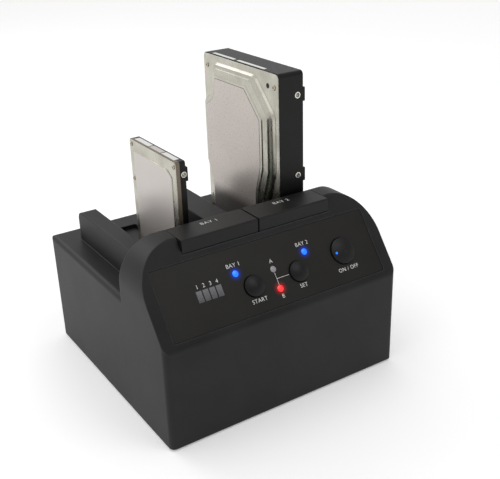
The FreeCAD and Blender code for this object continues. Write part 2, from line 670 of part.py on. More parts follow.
def make_chips():
    """The main board's processor, memory and bridge chips."""
    return group([
        box((-10, 10), (130, 150), (15.6, 17.6)),
        box((24, 38), (128, 150), (15.6, 16.8)),
        box((-48, -36), (136, 148), (15.6, 17.0)),
    ])


def make_usb_port():
    """The square computer port in the rear wall: a folded metal shell round a plastic tongue."""
    y = (DEPTH - 17.0, DEPTH - 0.6)
    shell = box((-46, -34), y, (15.6, 26.6)).cut(box((-44.6, -35.4), (y[0] + 3, DEPTH + 1), (17.0, 25.4)))
    tongue = box((-42.9, -37.1), (y[0] + 2.9, DEPTH - 3.0), (19.8, 22.6))
    return group([shell.fuse(tongue).removeSplitter()])


def make_dc_jack():
    """The round power inlet in the rear wall, with its centre contact."""
    y = (DEPTH - 14.2, DEPTH - 0.6)
    block = box((35.5, 44.5), y, (15.6, 26.6))
    bore = rod(3.15, (40, y[0] + 2.5, 21.1), (40, DEPTH + 1, 21.1))
    contact = rod(1.0, (40, y[0] + 2.4, 21.1), (40, DEPTH - 2.0, 21.1))
    return block.cut(bore).fuse(contact).removeSplitter()


# ---------------------------------------------------------------- drives
def drive_span(bay, size):
    """The x and y ranges of a seated drive; its board side faces right and its plug sits over the socket."""
    right = BAYS[bay] + BOARD_SIDE
    front = SOCKET_MID - size["plug_side"]
    return (right - size["thick"], right), (front, front + size["wide"])


def plug_cavity(bay, size, height):
    """The pocket in a drive's foot that the socket reaches into, open towards the board side."""
    right = BAYS[bay] + BOARD_SIDE
    return box((right - 6.8, right + 1), (SOCKET_MID - 22.2, SOCKET_MID + 22.2), (SEAT_Z - 1, SEAT_Z + height))


def make_drive_plug(bay):
    """A drive's 22-pin plug: a bar with two flat tongues, each with the small hook that keys it."""
    mid = BAYS[bay] + BOARD_SIDE - 3.5
    bar = box((mid - 3.2, mid + 2.2), (SOCKET_MID - 22, SOCKET_MID + 22), (SEAT_Z + 6.1, SEAT_Z + 8))
    pieces = [bar]
    for a, b, key in ((-18.3, -6.2, -6.8), (-2.5, 18.6, -2.5)):
        pieces.append(box((mid - 0.6, mid + 0.6), (SOCKET_MID + a, SOCKET_MID + b), (SEAT_Z + 0.3, SEAT_Z + 6.5)))
        pieces.append(box((mid - 1.6, mid), (SOCKET_MID + key, SOCKET_MID + key + 0.6), (SEAT_Z + 0.3, SEAT_Z + 6.5)))
    return fuse_all(pieces)


def make_casting(bay, size, cover, board, holes, corner):
    """A drive's cast body between its cover and its circuit board, with threaded holes in both long sides."""
    x, y = drive_span(bay, size)
    z = (SEAT_Z, SEAT_Z + size["tall"])
    body = side_profile(rectangle(y, z, corner), (x[0] + cover, x[1] - board))
    tools = [plug_cavity(bay, size, 8.0)]
    pads = []
    for rise, inward in holes:
        for edge, out in ((y[0], -1), (y[1], 1)):
            spot = (x[1] - inward, edge, SEAT_Z + rise)
            tools.append(rod(1.6, (spot[0], edge - 4, spot[2]), (spot[0], edge + 4, spot[2])))
        for span in ((y[0], y[0] + 8), (y[1] - 8, y[1])):
            pads.append(box((x[1] - board - 0.5, x[1]), span, (SEAT_Z + rise - 5, SEAT_Z + rise + 5)))
    return cut_all(fuse_all([body] + pads), tools)


def make_drive_board(bay, size, board, top):
    """A drive's own circuit board, on its right face, notched round the plug and the hole pads."""
    x, y = drive_span(bay, size)
    plate = box((x[1] - board, x[1] - board + 1.0), (y[0] + 8.5, y[1] - 8.5), (SEAT_Z + 1.0, SEAT_Z + top))
    return plate.cut(plug_cavity(bay, size, 8.0))


def inset_corners(corners, shares, distance):
    """Moves each edge of an outline inwards by its share of a distance; corner i starts edge i."""
    count = len(corners)
    points = [V(u, v, 0) for u, v, _ in corners]
    turning = sum(points[i - 1].cross(points[i]).z for i in range(count))
    side = 1.0 if turning > 0 else -1.0
    made = []
    for i, point in enumerate(points):
        before = point - points[i - 1]
        after = points[(i + 1) % count] - point
        before.normalize()
        after.normalize()
        first = V(-before.y, before.x, 0) * (side * distance * shares[i - 1])
        second = V(-after.y, after.x, 0) * (side * distance * shares[i])
        bend = before.cross(after).z
        moved = point + first + before * ((second - first).cross(after).z / bend)
        pull = distance * min(shares[i - 1], shares[i])
        radius = max(corners[i][2] - pull, 1.2) if bend * side > 0 else corners[i][2] + pull
        made.append((moved.x, moved.y, radius))
    return made


def large_cover_outline(inset):
    """Corners (y, z, radius) of the raised part of the large drive's cover, drawn in by an inset."""
    _, y = drive_span(2, LARGE)
    corners = [(11, 12, 5), (93.6, 12, 5), (93.6, 46, 8), (100.2, 60, 8), (100.2, 111, 5), (88.5, 117, 9),
               (85.5, 141.8, 6), (28.5, 141.8, 9), (4.2, 117, 9), (4.2, 72, 10), (11, 50, 10)]
    shares = (0.4, 0.3, 0.3, 0.3, 0.35, 0.35, 0.72, 1.0, 1.0, 1.0, 1.0)
    placed = [(y[0] + a, SEAT_Z + h, radius) for a, h, radius in corners]
    return inset_corners(placed, shares, inset)


def make_large_cover():
    """The large drive's pressed steel lid: a flat flange, three bevel steps, a ledge and the label's plateau."""
    x, y = drive_span(2, LARGE)
    z = (SEAT_Z, SEAT_Z + LARGE["tall"])
    face = x[0] + COVER_RELIEF
    flange = side_profile(rectangle((y[0] + 0.5, y[1] - 0.5), (z[0] + 9, z[1] - 0.5), 3), (face, face + 0.8))
    steps = [
        side_profile(large_cover_outline(inset), (face - rise, face + 0.1))
        for inset, rise in ((0.0, 1.1), (1.8, 2.0), (5.2, 2.5), (13.6, COVER_RELIEF))
    ]
    return fuse_all([flange] + steps)


def make_small_cover():
    """The small drive's lid: a flat flange with one raised field, clipped at the upper front corner."""
    x, y = drive_span(1, SMALL)
    z = (SEAT_Z, SEAT_Z + SMALL["tall"])
    flange = side_profile(rectangle((y[0] + 0.3, y[1] - 0.3), (z[0] + 9, z[1] - 0.3), 2), (x[0] + 0.4, x[0] + 1.0))
    field = side_profile(
        [(y[0] + 6.0, z[0] + 14, 2), (y[1] - 5.5, z[0] + 14, 2), (y[1] - 5.5, z[1] - 8.0, 2),
         (y[0] + 13.0, z[1] - 8.0, 2), (y[0] + 6.0, z[1] - 12.0, 2)],
        (x[0], x[0] + 0.5),
    )
    return fuse_all([flange, field])


def make_cover_screws(bay, size, face, spots, radius):
    """The screws of a drive's cover, as (from the front edge, up from the foot)."""
    x, y = drive_span(bay, size)
    return group([
        rod(radius, (x[0] + face - 0.7, y[0] + a, SEAT_Z + b), (x[0] + face, y[0] + a, SEAT_Z + b))
        for a, b in spots
    ])


# ---------------------------------------------------------------- build
def build():
    """Makes and writes every node."""
    os.makedirs("parts", exist_ok=True)
    export("upper_housing", make_upper_housing())
    export("base_plate", make_base_plate())
    export("rubber_feet", make_feet())
    export("case_screws", make_case_screws())
    export("control_film", make_control_film())
    export("level_window", make_level_window())
    for name, (x, s) in LAMPS.items():
        export(name, make_lamp(x, s))
    for name in ("start_button", "set_button"):
        export(name, make_button(*BUTTONS[name]))
    export("power_button", make_power_button())
    export("power_lamp", make_power_lamp())
    export("control_board", make_control_board())
    export("panel_posts", make_board_posts())
    export("panel_switches", make_switches())
    export("lamp_chips", make_lamp_chips())
    export("key_frame", make_key_frame())
    for bay in BAYS:
        export("eject_key_%d" % bay, make_eject_key(bay))
        export("key_springs_%d" % bay, make_key_springs(bay))
        export("rocker_%d" % bay, make_rocker(bay))
        export("rocker_pin_%d" % bay, make_rocker_pin(bay))
        export("lifter_%d" % bay, make_lifter(bay))
        export("bay_frame_%d" % bay, make_bay_frame(bay))
        export("flap_%d" % bay, make_flap(bay, opened=bay == 2))
        export("flap_pin_%d" % bay, make_flap_pin(bay))
        export("flap_spring_%d" % bay, make_flap_spring(bay))
        export("drive_socket_%d" % bay, make_socket(bay))
    export("socket_board", make_socket_board())
    export("main_board", make_main_board())
    export("main_chips", make_chips())
    export("riser_board", make_riser_board())
    export("riser_sockets", make_riser_sockets())
    export("board_screws", make_board_screws())
    export("usb_port", make_usb_port())
    export("dc_jack", make_dc_jack())
    export("small_drive_casting", make_casting(1, SMALL, 1.0, 1.6, ((14.0, 3.0), (90.6, 3.0)), 1.5))
    export("small_drive_cover", make_small_cover())
    export("small_drive_board", make_drive_board(1, SMALL, 1.6, 62.0))
    export("small_drive_plug", make_drive_plug(1))
    export("small_drive_screws", make_cover_screws(
        1, SMALL, 0.4, ((3.0, 96.5), (66.8, 96.5), (3.0, 40.0), (66.8, 70.0)), 1.3))
    export("large_drive_casting", make_casting(2, LARGE, COVER_RELIEF + 0.8, 1.7, ((28.5, 6.35), (70.1, 6.35), (130.1, 6.35)), 3.0))
    export("large_drive_cover", make_large_cover())
    export("large_drive_board", make_drive_board(2, LARGE, 1.7, 92.0))
    export("large_drive_plug", make_drive_plug(2))
    export("large_drive_screws", make_cover_screws(
        2, LARGE, COVER_RELIEF, ((5.3, 137.0), (13.0, 137.0), (96.1, 137.5), (4.8, 30.0), (96.0, 30.0)), 1.9))


build()
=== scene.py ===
"""Looks of the drive duplicator: finishes, printing, lit lamps, drive trim, springs and a plain studio.

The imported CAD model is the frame. Every finish is made of shader nodes and every added piece of mesh code.
Lengths in the classes below are millimetres; the meshes are in metres, in the model's frame.
"""

from __future__ import annotations

import json
import logging
import math
from dataclasses import dataclass
from enum import Enum

import bmesh
import bpy
from mathutils import Matrix, Vector

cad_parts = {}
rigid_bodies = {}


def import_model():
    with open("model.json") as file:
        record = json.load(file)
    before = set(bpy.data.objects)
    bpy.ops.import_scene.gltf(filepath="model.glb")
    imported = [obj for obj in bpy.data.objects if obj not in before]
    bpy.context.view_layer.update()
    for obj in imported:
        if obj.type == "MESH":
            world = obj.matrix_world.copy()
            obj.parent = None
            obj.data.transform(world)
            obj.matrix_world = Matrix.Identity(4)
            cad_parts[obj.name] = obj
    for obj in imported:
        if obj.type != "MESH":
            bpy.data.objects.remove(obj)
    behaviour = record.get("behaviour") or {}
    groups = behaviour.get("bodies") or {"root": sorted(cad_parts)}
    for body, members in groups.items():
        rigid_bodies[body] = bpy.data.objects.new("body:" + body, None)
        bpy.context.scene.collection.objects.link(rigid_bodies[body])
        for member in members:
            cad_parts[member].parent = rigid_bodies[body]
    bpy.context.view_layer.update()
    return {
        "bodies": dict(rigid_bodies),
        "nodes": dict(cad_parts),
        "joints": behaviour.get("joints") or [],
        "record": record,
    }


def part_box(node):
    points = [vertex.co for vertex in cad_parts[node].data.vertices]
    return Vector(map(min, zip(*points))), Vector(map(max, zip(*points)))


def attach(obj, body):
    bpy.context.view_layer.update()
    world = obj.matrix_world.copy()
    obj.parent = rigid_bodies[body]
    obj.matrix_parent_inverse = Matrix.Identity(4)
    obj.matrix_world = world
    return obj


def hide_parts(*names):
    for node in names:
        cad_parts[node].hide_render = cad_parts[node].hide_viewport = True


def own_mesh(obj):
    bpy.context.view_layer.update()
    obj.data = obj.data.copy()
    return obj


MM = 0.001
LOG = logging.getLogger("drive_duplicator")
Colour = tuple[float, float, float, float]
Corner = tuple[float, float, float]
Place = tuple[float, float, float]
Spot = tuple[float, float]
Socket = bpy.types.NodeSocket
Inputs = dict[int | str, object] | tuple[object, ...]

ACROSS = Vector((1, 0, 0))
BACK = Vector((0, 1, 0))
UP = Vector((0, 0, 1))

# A Mix node's inputs and output for colours, which share their names with those for other kinds of value.
FACTOR, FIRST, SECOND = 0, 6, 7
COLOUR_MIX = {"output": 2, "data_type": "RGBA"}


def linear(hex_code: str) -> Colour:
    """Turns an sRGB colour into the linear one that shaders use.

    Args:
        hex_code: six hex digits.

    Returns:
        Linear red, green, blue and an alpha of 1.
    """
    parts = [int(hex_code[i:i + 2], 16) / 255 for i in (0, 2, 4)]
    red, green, blue = [p / 12.92 if p <= 0.04045 else ((p + 0.055) / 1.055) ** 2.4 for p in parts]
    return red, green, blue, 1.0


# ------------------------------------------------------------------ shaders
class Graph:
    """A node tree that is being built."""

    def __init__(self, tree: bpy.types.NodeTree) -> None:
        """Empties a tree.

        Args:
            tree: the tree that gains the nodes.
        """
        self.tree = tree
        tree.nodes.clear()

    def add(self, kind: str, inputs: Inputs = (), output: int | str = 0, **settings: object) -> Socket | None:
        """Adds one node with its settings and links.

        Args:
            kind: the node's type, without ShaderNode in front.
            inputs: values and sockets, by name or number, or as a tuple in the node's own order.
            output: the name or number of the output that is wanted.
            **settings: properties of the node itself.

        Returns:
            The output, or None where the node has none.
        """
        node = self.tree.nodes.new("ShaderNode" + kind)
        for key, value in settings.items():
            setattr(node, key, value)
        for key, value in inputs.items() if isinstance(inputs, dict) else enumerate(inputs):
            if isinstance(value, Socket):
                self.tree.links.new(value, node.inputs[key])
            else:
                node.inputs[key].default_value = value
        return node.outputs[output] if node.outputs else None


class Shader(Graph):
    """A material that is being built."""

    def __init__(self, name: str) -> None:
        """Starts an empty material.

        Args:
            name: the material's name.
        """
        self.material = bpy.data.materials.new(name)
        self.material.use_nodes = True
        super().__init__(self.material.node_tree)
        self.place = self.add("TexCoord", output="Object")

    def pattern(self, kind: str, size: float, inputs: dict[str, object], output: int | str = 0,
                **settings: object) -> Socket:
        """Adds a texture at its real size.

        Args:
            kind: the texture's type, without ShaderNodeTex in front.
            size: how large its features are, in mm.
            inputs: its other inputs, with Vector only where the texture is drawn out.
            output: the output that is wanted.
            **settings: properties of the node itself.

        Returns:
            The output.
        """
        return self.add("Tex" + kind, {"Vector": self.place, "Scale": 1 / (size * MM)} | inputs, output, **settings)

    def worn_and_highlit_edges(self, radius: float) -> Socket:
        """Finds the edges that hands and handling rub first; the moulded plastics also get painted highlights there.

        Args:
            radius: edges sharper than this many mm count.

        Returns:
            About 1 along such edges and 0 on flat faces.
        """
        soft = self.add("Bevel", {"Radius": radius * MM}, samples=4)
        flat = self.add("NewGeometry", output="Normal")
        alike = self.add("VectorMath", (soft, flat), "Value", operation="DOT_PRODUCT")
        return self.add("MapRange", (alike, 0.995, 0.85))

    def relief(self, height: Socket, depth: float, strength: float, edge: float = 0.0) -> Socket:
        """Raises a pattern on a surface whose edges moulding or deburring may have rounded.

        Args:
            height: the pattern.
            depth: its depth in mm.
            strength: how much of it shows.
            edge: the radius of the rounded edges in mm, or 0 to leave them sharp.

        Returns:
            The surface's normal.
        """
        inputs = {"Height": height, "Distance": depth * MM, "Strength": strength}
        if edge:
            inputs["Normal"] = self.add("Bevel", {"Radius": edge * MM}, samples=4)
        return self.add("Bump", inputs)

    def finish(self, **inputs: object) -> bpy.types.Material:
        """Closes the material with a Principled surface.

        Args:
            **inputs: the surface's inputs, with underscores for spaces.

        Returns:
            The finished material.
        """
        surface = self.add("BsdfPrincipled", {key.replace("_", " "): value for key, value in inputs.items()})
        self.add("OutputMaterial", {"Surface": surface})
        return self.material


@dataclass(frozen=True)
class Moulded:
    """Moulded plastic: a spark-eroded grain, faint flow mottling and edges a little lighter, partly from wear and
    partly as a painted highlight.
    """

    name: str
    base: str
    # The colour that mottling and edges turn towards: wear, and on the edges also a painted highlight.
    worn_and_highlight: str
    roughness: float = 0.5
    grain: float = 0.42  # spark-eroded pits are nearer 0.1, which is too fine to show
    depth: float = 0.03
    edge: float = 0.5
    flow: float = 38.0

    def make(self) -> bpy.types.Material:
        """Builds the plastic; it reads as dark matt moulding with a fine even sparkle.

        Returns:
            The plastic's material.
        """
        s = Shader(self.name)
        pits = s.pattern("Voronoi", self.grain, {}, "Distance", feature="SMOOTH_F1")
        fine = s.pattern("Noise", self.grain * 0.4, {"Detail": 3.0})
        flow = s.pattern("Noise", self.flow, {"Detail": 2.0})
        # Lighter edges: partly wear, partly a painted highlight for the light that edges catch.
        edge_wear_and_highlight = s.add("Math", (s.worn_and_highlit_edges(self.edge), 0.55), operation="MULTIPLY")
        mottled = s.add("MapRange", (flow, 0.3, 0.7, 0.0, 0.07))
        pale = s.add("Math", (mottled, edge_wear_and_highlight), operation="ADD", use_clamp=True)
        body = s.add("Mix", {FACTOR: pale, FIRST: linear(self.base), SECOND: linear(self.worn_and_highlight)}, **COLOUR_MIX)
        even = s.add("MapRange", (fine, 0.3, 0.7, self.roughness - 0.05, self.roughness + 0.06))
        rough = s.add("Math", (even, s.add("MapRange", (flow, 0.35, 0.65, -0.02, 0.03))), operation="ADD")
        texture = s.add("Math", (pits, fine), operation="ADD")
        return s.finish(Base_Color=body, Roughness=rough, Normal=s.relief(texture, self.depth, 0.55, self.edge),
                        Specular_IOR_Level=0.25)


@dataclass(frozen=True)
class Glow:
    """Light that a lamp spills on the surface around it."""

    place: Place
    colour: str
    lens: float = 1.6
    reach: float = 6.5
    fall: float = 2.6
    power: float = 0.45


@dataclass(frozen=True)
class PrintedFilm:
    """Fine-matt polycarbonate film with the lamps' light spilled round each hole."""

    name: str
    base: str
    light: str
    glows: tuple[Glow, ...]
    silk: float = 0.35  # the real texture is nearer 0.05, which is too fine to show
    cloud: float = 30.0

    def make(self) -> bpy.types.Material:
        """Builds the film: warm dark grey, a silk texture, and a soft halo at each lit lamp.

        Returns:
            The film's material.
        """
        s = Shader(self.name)
        silk = s.pattern("Noise", self.silk, {"Detail": 3.0})
        cloud = s.pattern("Noise", self.cloud, {"Detail": 1.0})
        pale = s.add("MapRange", (cloud, 0.3, 0.7, 0.0, 0.35))
        body = s.add("Mix", {FACTOR: pale, FIRST: linear(self.base), SECOND: linear(self.light)}, **COLOUR_MIX)
        total = None
        for glow in self.glows:
            centre = tuple(c * MM for c in glow.place)
            away = s.add("VectorMath", (s.place, centre), "Value", operation="DISTANCE")
            near = s.add("MapRange", (away, glow.reach * MM, glow.lens * MM))
            halo = s.add("Math", (near, glow.fall), operation="POWER")
            halo = s.add("Math", (halo, glow.power), operation="MULTIPLY")
            lit = s.add("VectorMath", {0: linear(glow.colour)[:3], "Scale": halo}, operation="SCALE")
            total = lit if total is None else s.add("VectorMath", (total, lit), operation="ADD")
        return s.finish(Base_Color=body, Roughness=s.add("MapRange", (silk, 0.3, 0.7, 0.4, 0.5)),
                        Normal=s.relief(silk, 0.012, 0.5, 0.3), Emission_Color=total, Emission_Strength=1.0,
                        Specular_IOR_Level=0.25)


@dataclass(frozen=True)
class Ink:
    """Screen-printed ink, a touch uneven where the mesh of the screen left it thin."""

    name: str
    colour: str
    thin: str
    mesh: float = 0.22  # a screen's threads are 0.1 apart, which is too fine to show

    def make(self) -> bpy.types.Material:
        """Builds the ink; it reads as flat print with hardly any shine.

        Returns:
            The ink's material.
        """
        s = Shader(self.name)
        mesh = s.pattern("Noise", self.mesh, {"Detail": 2.0})
        bare = s.add("MapRange", (mesh, 0.35, 0.75))
        body = s.add("Mix", {FACTOR: bare, FIRST: linear(self.colour), SECOND: linear(self.thin)}, **COLOUR_MIX)
        return s.finish(Base_Color=body, Roughness=s.add("MapRange", (mesh, 0.2, 0.8, 0.5, 0.62)))


@dataclass(frozen=True)
class LitLens:
    """Moulded acrylic over a lamp: bright in the middle and deeper in colour towards its rim."""

    name: str
    core: str
    rim: str
    power: float
    haze: float = 0.7

    def make(self) -> bpy.types.Material:
        """Builds the lens; its middle nearly burns out.

        Returns:
            The lens's material.
        """
        s = Shader(self.name)
        away = s.add("LayerWeight", {"Blend": 0.35}, "Facing")
        haze = s.pattern("Noise", self.haze, {"Detail": 1.0})
        uneven = s.add("MapRange", (haze, 0.3, 0.7, -0.05, 0.05))
        deep = s.add("Math", (away, uneven), operation="ADD", use_clamp=True)
        glow = s.add("Mix", {FACTOR: deep, FIRST: linear(self.core), SECOND: linear(self.rim)}, **COLOUR_MIX)
        return s.finish(Base_Color=linear(self.rim), Roughness=s.add("MapRange", (haze, 0.2, 0.8, 0.2, 0.3)),
                        Emission_Color=glow, Emission_Strength=self.power)


@dataclass(frozen=True)
class Diffuser:
    """Unlit moulded acrylic: grey, milky and slightly glossy."""

    name: str
    base: str
    bright: str
    dim_below: float = 94.0
    bright_above: float = 103.0
    haze: float = 0.9

    def make(self) -> bpy.types.Material:
        """Builds the lens; it is lighter up the slope, where the skylight fills it.

        Returns:
            The lens's material.
        """
        s = Shader(self.name)
        height = s.add("SeparateXYZ", (s.place,), "Z")
        rise = s.add("MapRange", (height, self.dim_below * MM, self.bright_above * MM))
        haze = s.pattern("Noise", self.haze, {"Detail": 2.0})
        uneven = s.add("MapRange", (haze, 0.3, 0.7, -0.12, 0.12))
        pale = s.add("Math", (rise, uneven), operation="ADD", use_clamp=True)
        body = s.add("Mix", {FACTOR: pale, FIRST: linear(self.base), SECOND: linear(self.bright)}, **COLOUR_MIX)
        return s.finish(Base_Color=body, Roughness=s.add("MapRange", (haze, 0.3, 0.7, 0.3, 0.42)),
                        Normal=s.relief(haze, 0.01, 0.4), Coat_Weight=0.2)


class Lay(Enum):
    """The way a metal was worked, as how far its texture is drawn out along each axis."""

    EVEN = (1.0, 1.0, 1.0)
    UPRIGHT = (1.0, 1.0, 0.04)
    LENGTHWISE = (1.0, 0.04, 1.0)


@dataclass(frozen=True)
class Metal:
    """Bare or plated metal with a drawn-out grain, faint stains and softened edges."""

    name: str
    base: str
    stain: str
    roughness: float
    lay: Lay = Lay.EVEN
    grain: float = 0.18  # tool marks are nearer 0.03 apart, which is too fine to show
    depth: float = 0.004
    edge: float = 0.25
    stains: float = 14.0

    def make(self) -> bpy.types.Material:
        """Builds the metal; the grain follows the way it was rolled, turned or ground.

        Returns:
            The metal's material.
        """
        s = Shader(self.name)
        drawn = s.add("Mapping", {"Vector": s.place, "Scale": self.lay.value})
        lines = s.pattern("Noise", self.grain, {"Vector": drawn, "Detail": 3.0})
        stains = s.pattern("Noise", self.stains, {"Detail": 3.0})
        dull = s.add("MapRange", (stains, 0.42, 0.72, 0.0, 0.5))
        body = s.add("Mix", {FACTOR: dull, FIRST: linear(self.base), SECOND: linear(self.stain)}, **COLOUR_MIX)
        even = s.add("MapRange", (lines, 0.3, 0.7, self.roughness - 0.05, self.roughness + 0.06))
        rough = s.add("Math", (even, s.add("MapRange", (stains, 0.4, 0.7, -0.02, 0.06))), operation="ADD")
        return s.finish(Base_Color=body, Metallic=1.0, Roughness=rough,
                        Normal=s.relief(lines, self.depth, 0.6, self.edge))


@dataclass(frozen=True)
class Painted:
    """Black coat on metal: orange peel over the sand of the mould, chipped bright on edges and bare up to a line."""

    name: str
    coat: str
    bare: str
    roughness: float = 0.32
    bare_until: float = -1000.0
    peel: float = 0.9
    sand: float = 0.5
    chips: float = 2.2
    edge: float = 0.35

    def make(self) -> bpy.types.Material:
        """Builds the coat; bare metal shows in small chips along its edges, and left of the line across X.

        Returns:
            The coat's material.
        """
        s = Shader(self.name)
        peel = s.pattern("Noise", self.peel, {"Detail": 2.0})
        sand = s.pattern("Voronoi", self.sand, {}, "Distance")
        flakes = s.pattern("Noise", self.chips, {"Detail": 3.0})
        flakes = s.add("MapRange", (flakes, 0.46, 0.6))
        chips = s.add("Math", (s.worn_and_highlit_edges(self.edge), flakes), operation="MULTIPLY")
        chips = s.add("Math", (chips, 0.6), operation="MULTIPLY")
        x = s.add("SeparateXYZ", (s.place,), "X")
        open_metal = s.add("MapRange", (x, self.bare_until * MM, (self.bare_until + 0.25) * MM, 0.9, 0.0))
        metal = s.add("Math", (chips, open_metal), operation="MAXIMUM")
        body = s.add("Mix", {FACTOR: metal, FIRST: linear(self.coat), SECOND: linear(self.bare)}, **COLOUR_MIX)
        texture = s.add("Math", (peel, sand), operation="ADD")
        return s.finish(Base_Color=body, Metallic=s.add("Math", (metal, 0.85), operation="MULTIPLY"),
                        Roughness=s.add("MapRange", (peel, 0.3, 0.7, self.roughness - 0.05, self.roughness + 0.08)),
                        Normal=s.relief(texture, 0.02, 0.35, self.edge), Specular_IOR_Level=0.22, Coat_Weight=0.05)


@dataclass(frozen=True)
class FoilLabel:
    """A blank satin foil label: pinkish silver, with a darker band along its foot that is a painted reflection of the
    dark housing.
    """

    name: str
    base: str
    # The band's colour is a painted reflection of the dark housing, laid between the two heights below.
    band: str
    reflection_low: float
    reflection_top: float
    roughness: float = 0.3
    cloudy: str = "9c9590"
    fibre: float = 0.5  # paper fibres are nearer 0.03 thick, which is too fine to show
    cloud: float = 26.0

    def make(self) -> bpy.types.Material:
        """Builds the label; paper fibres show through the foil as a faint grain.

        Returns:
            The label's material.
        """
        s = Shader(self.name)
        drawn = s.add("Mapping", {"Vector": s.place, "Scale": (1.0, 1.0, 0.3)})
        fibre = s.pattern("Noise", self.fibre, {"Vector": drawn, "Detail": 3.0})
        cloud = s.pattern("Noise", self.cloud, {"Detail": 1.0})
        # Painted reflection: the label darkens towards its foot, where it would mirror the dark housing.
        height = s.add("SeparateXYZ", (s.place,), "Z")
        foot = s.add("MapRange", (height, self.reflection_low * MM, self.reflection_top * MM, 1.0, 0.0),
                     interpolation_type="SMOOTHSTEP")
        tint_with_reflection = s.add("Mix", {FACTOR: foot, FIRST: linear(self.base), SECOND: linear(self.band)}, **COLOUR_MIX)
        clouded = s.add("MapRange", (cloud, 0.35, 0.7, 0.0, 0.12))
        body = s.add("Mix", {FACTOR: clouded, FIRST: tint_with_reflection, SECOND: linear(self.cloudy)}, **COLOUR_MIX)
        rough = s.add("MapRange", (fibre, 0.3, 0.7, self.roughness - 0.04, self.roughness + 0.05))
        return s.finish(Base_Color=body, Metallic=0.45, Roughness=rough, Normal=s.relief(fibre, 0.006, 0.5))


@dataclass(frozen=True)
class CircuitBoard:
    """Woven glass fibre in epoxy: green mask over copper runs, with the weave just showing."""

    name: str
    mask: str
    copper: str
    block: float = 9.0
    runs: float = 6.5
    weave: float = 0.4

    def make(self) -> bpy.types.Material:
        """Builds the board; tracks stand up as paler lines under the glossy mask.

        Returns:
            The board's material.
        """
        s = Shader(self.name)
        black, white = linear("000000"), linear("ffffff")
        lines = {"Mortar Size": 0.035, "Color1": black, "Color2": black, "Mortar": white}
        straight = s.pattern("Brick", self.block, lines, "Fac")
        bent = s.pattern("Voronoi", self.runs, {}, "Distance", feature="DISTANCE_TO_EDGE")
        tracks = s.add("Math", (straight, s.add("MapRange", (bent, 0.05, 0.03))), operation="MAXIMUM")
        drawn = s.add("Mapping", {"Vector": s.place, "Scale": (1.0, 0.2, 1.0)})
        weave = s.pattern("Noise", self.weave, {"Vector": drawn, "Detail": 1.0})
        pale = s.add("Math", (tracks, 0.55), operation="MULTIPLY")
        body = s.add("Mix", {FACTOR: pale, FIRST: linear(self.mask), SECOND: linear(self.copper)}, **COLOUR_MIX)
        texture = s.add("Math", (tracks, s.add("Math", (weave, 0.2), operation="MULTIPLY")), operation="ADD")
        return s.finish(Base_Color=body, Roughness=s.add("MapRange", (weave, 0.3, 0.7, 0.25, 0.36)),
                        Normal=s.relief(texture, 0.02, 0.5), Coat_Weight=0.35)


@dataclass(frozen=True)
class Rubber:
    """Soft black rubber with dust in its grain."""

    name: str
    base: str
    dust: str
    grain: float = 0.5  # the mould's grain is nearer 0.1, which is too fine to show
    specks: float = 3.5

    def make(self) -> bpy.types.Material:
        """Builds the rubber; it is dull and a little grey where it has picked up dust.

        Returns:
            The rubber's material.
        """
        s = Shader(self.name)
        grain = s.pattern("Noise", self.grain, {"Detail": 3.0})
        specks = s.pattern("Noise", self.specks, {"Detail": 3.0})
        dusty = s.add("MapRange", (specks, 0.5, 0.75, 0.0, 0.4))
        body = s.add("Mix", {FACTOR: dusty, FIRST: linear(self.base), SECOND: linear(self.dust)}, **COLOUR_MIX)
        return s.finish(Base_Color=body, Roughness=s.add("MapRange", (grain, 0.3, 0.7, 0.75, 0.9)),
                        Normal=s.relief(grain, 0.03, 0.5), Sheen_Weight=0.1)


@dataclass(frozen=True)
class LightTable:
    """Opal acrylic lit softly from below: a matt white floor that stays out of the way."""

    name: str
    colour: str
    shade: str
    power: float
    fibre: float = 2.5

    def make(self) -> bpy.types.Material:
        """Builds the floor's finish; it reads as plain white with a soft contact shadow.

        Returns:
            The floor's material.
        """
        s = Shader(self.name)
        fibre = s.pattern("Noise", self.fibre, {"Detail": 2.0})
        faint = s.add("MapRange", (fibre, 0.3, 0.7, 0.0, 0.04))
        body = s.add("Mix", {FACTOR: faint, FIRST: linear(self.colour), SECOND: linear(self.shade)}, **COLOUR_MIX)
        return s.finish(Base_Color=body, Roughness=0.9, Emission_Color=linear("ffffff"), Emission_Strength=self.power)


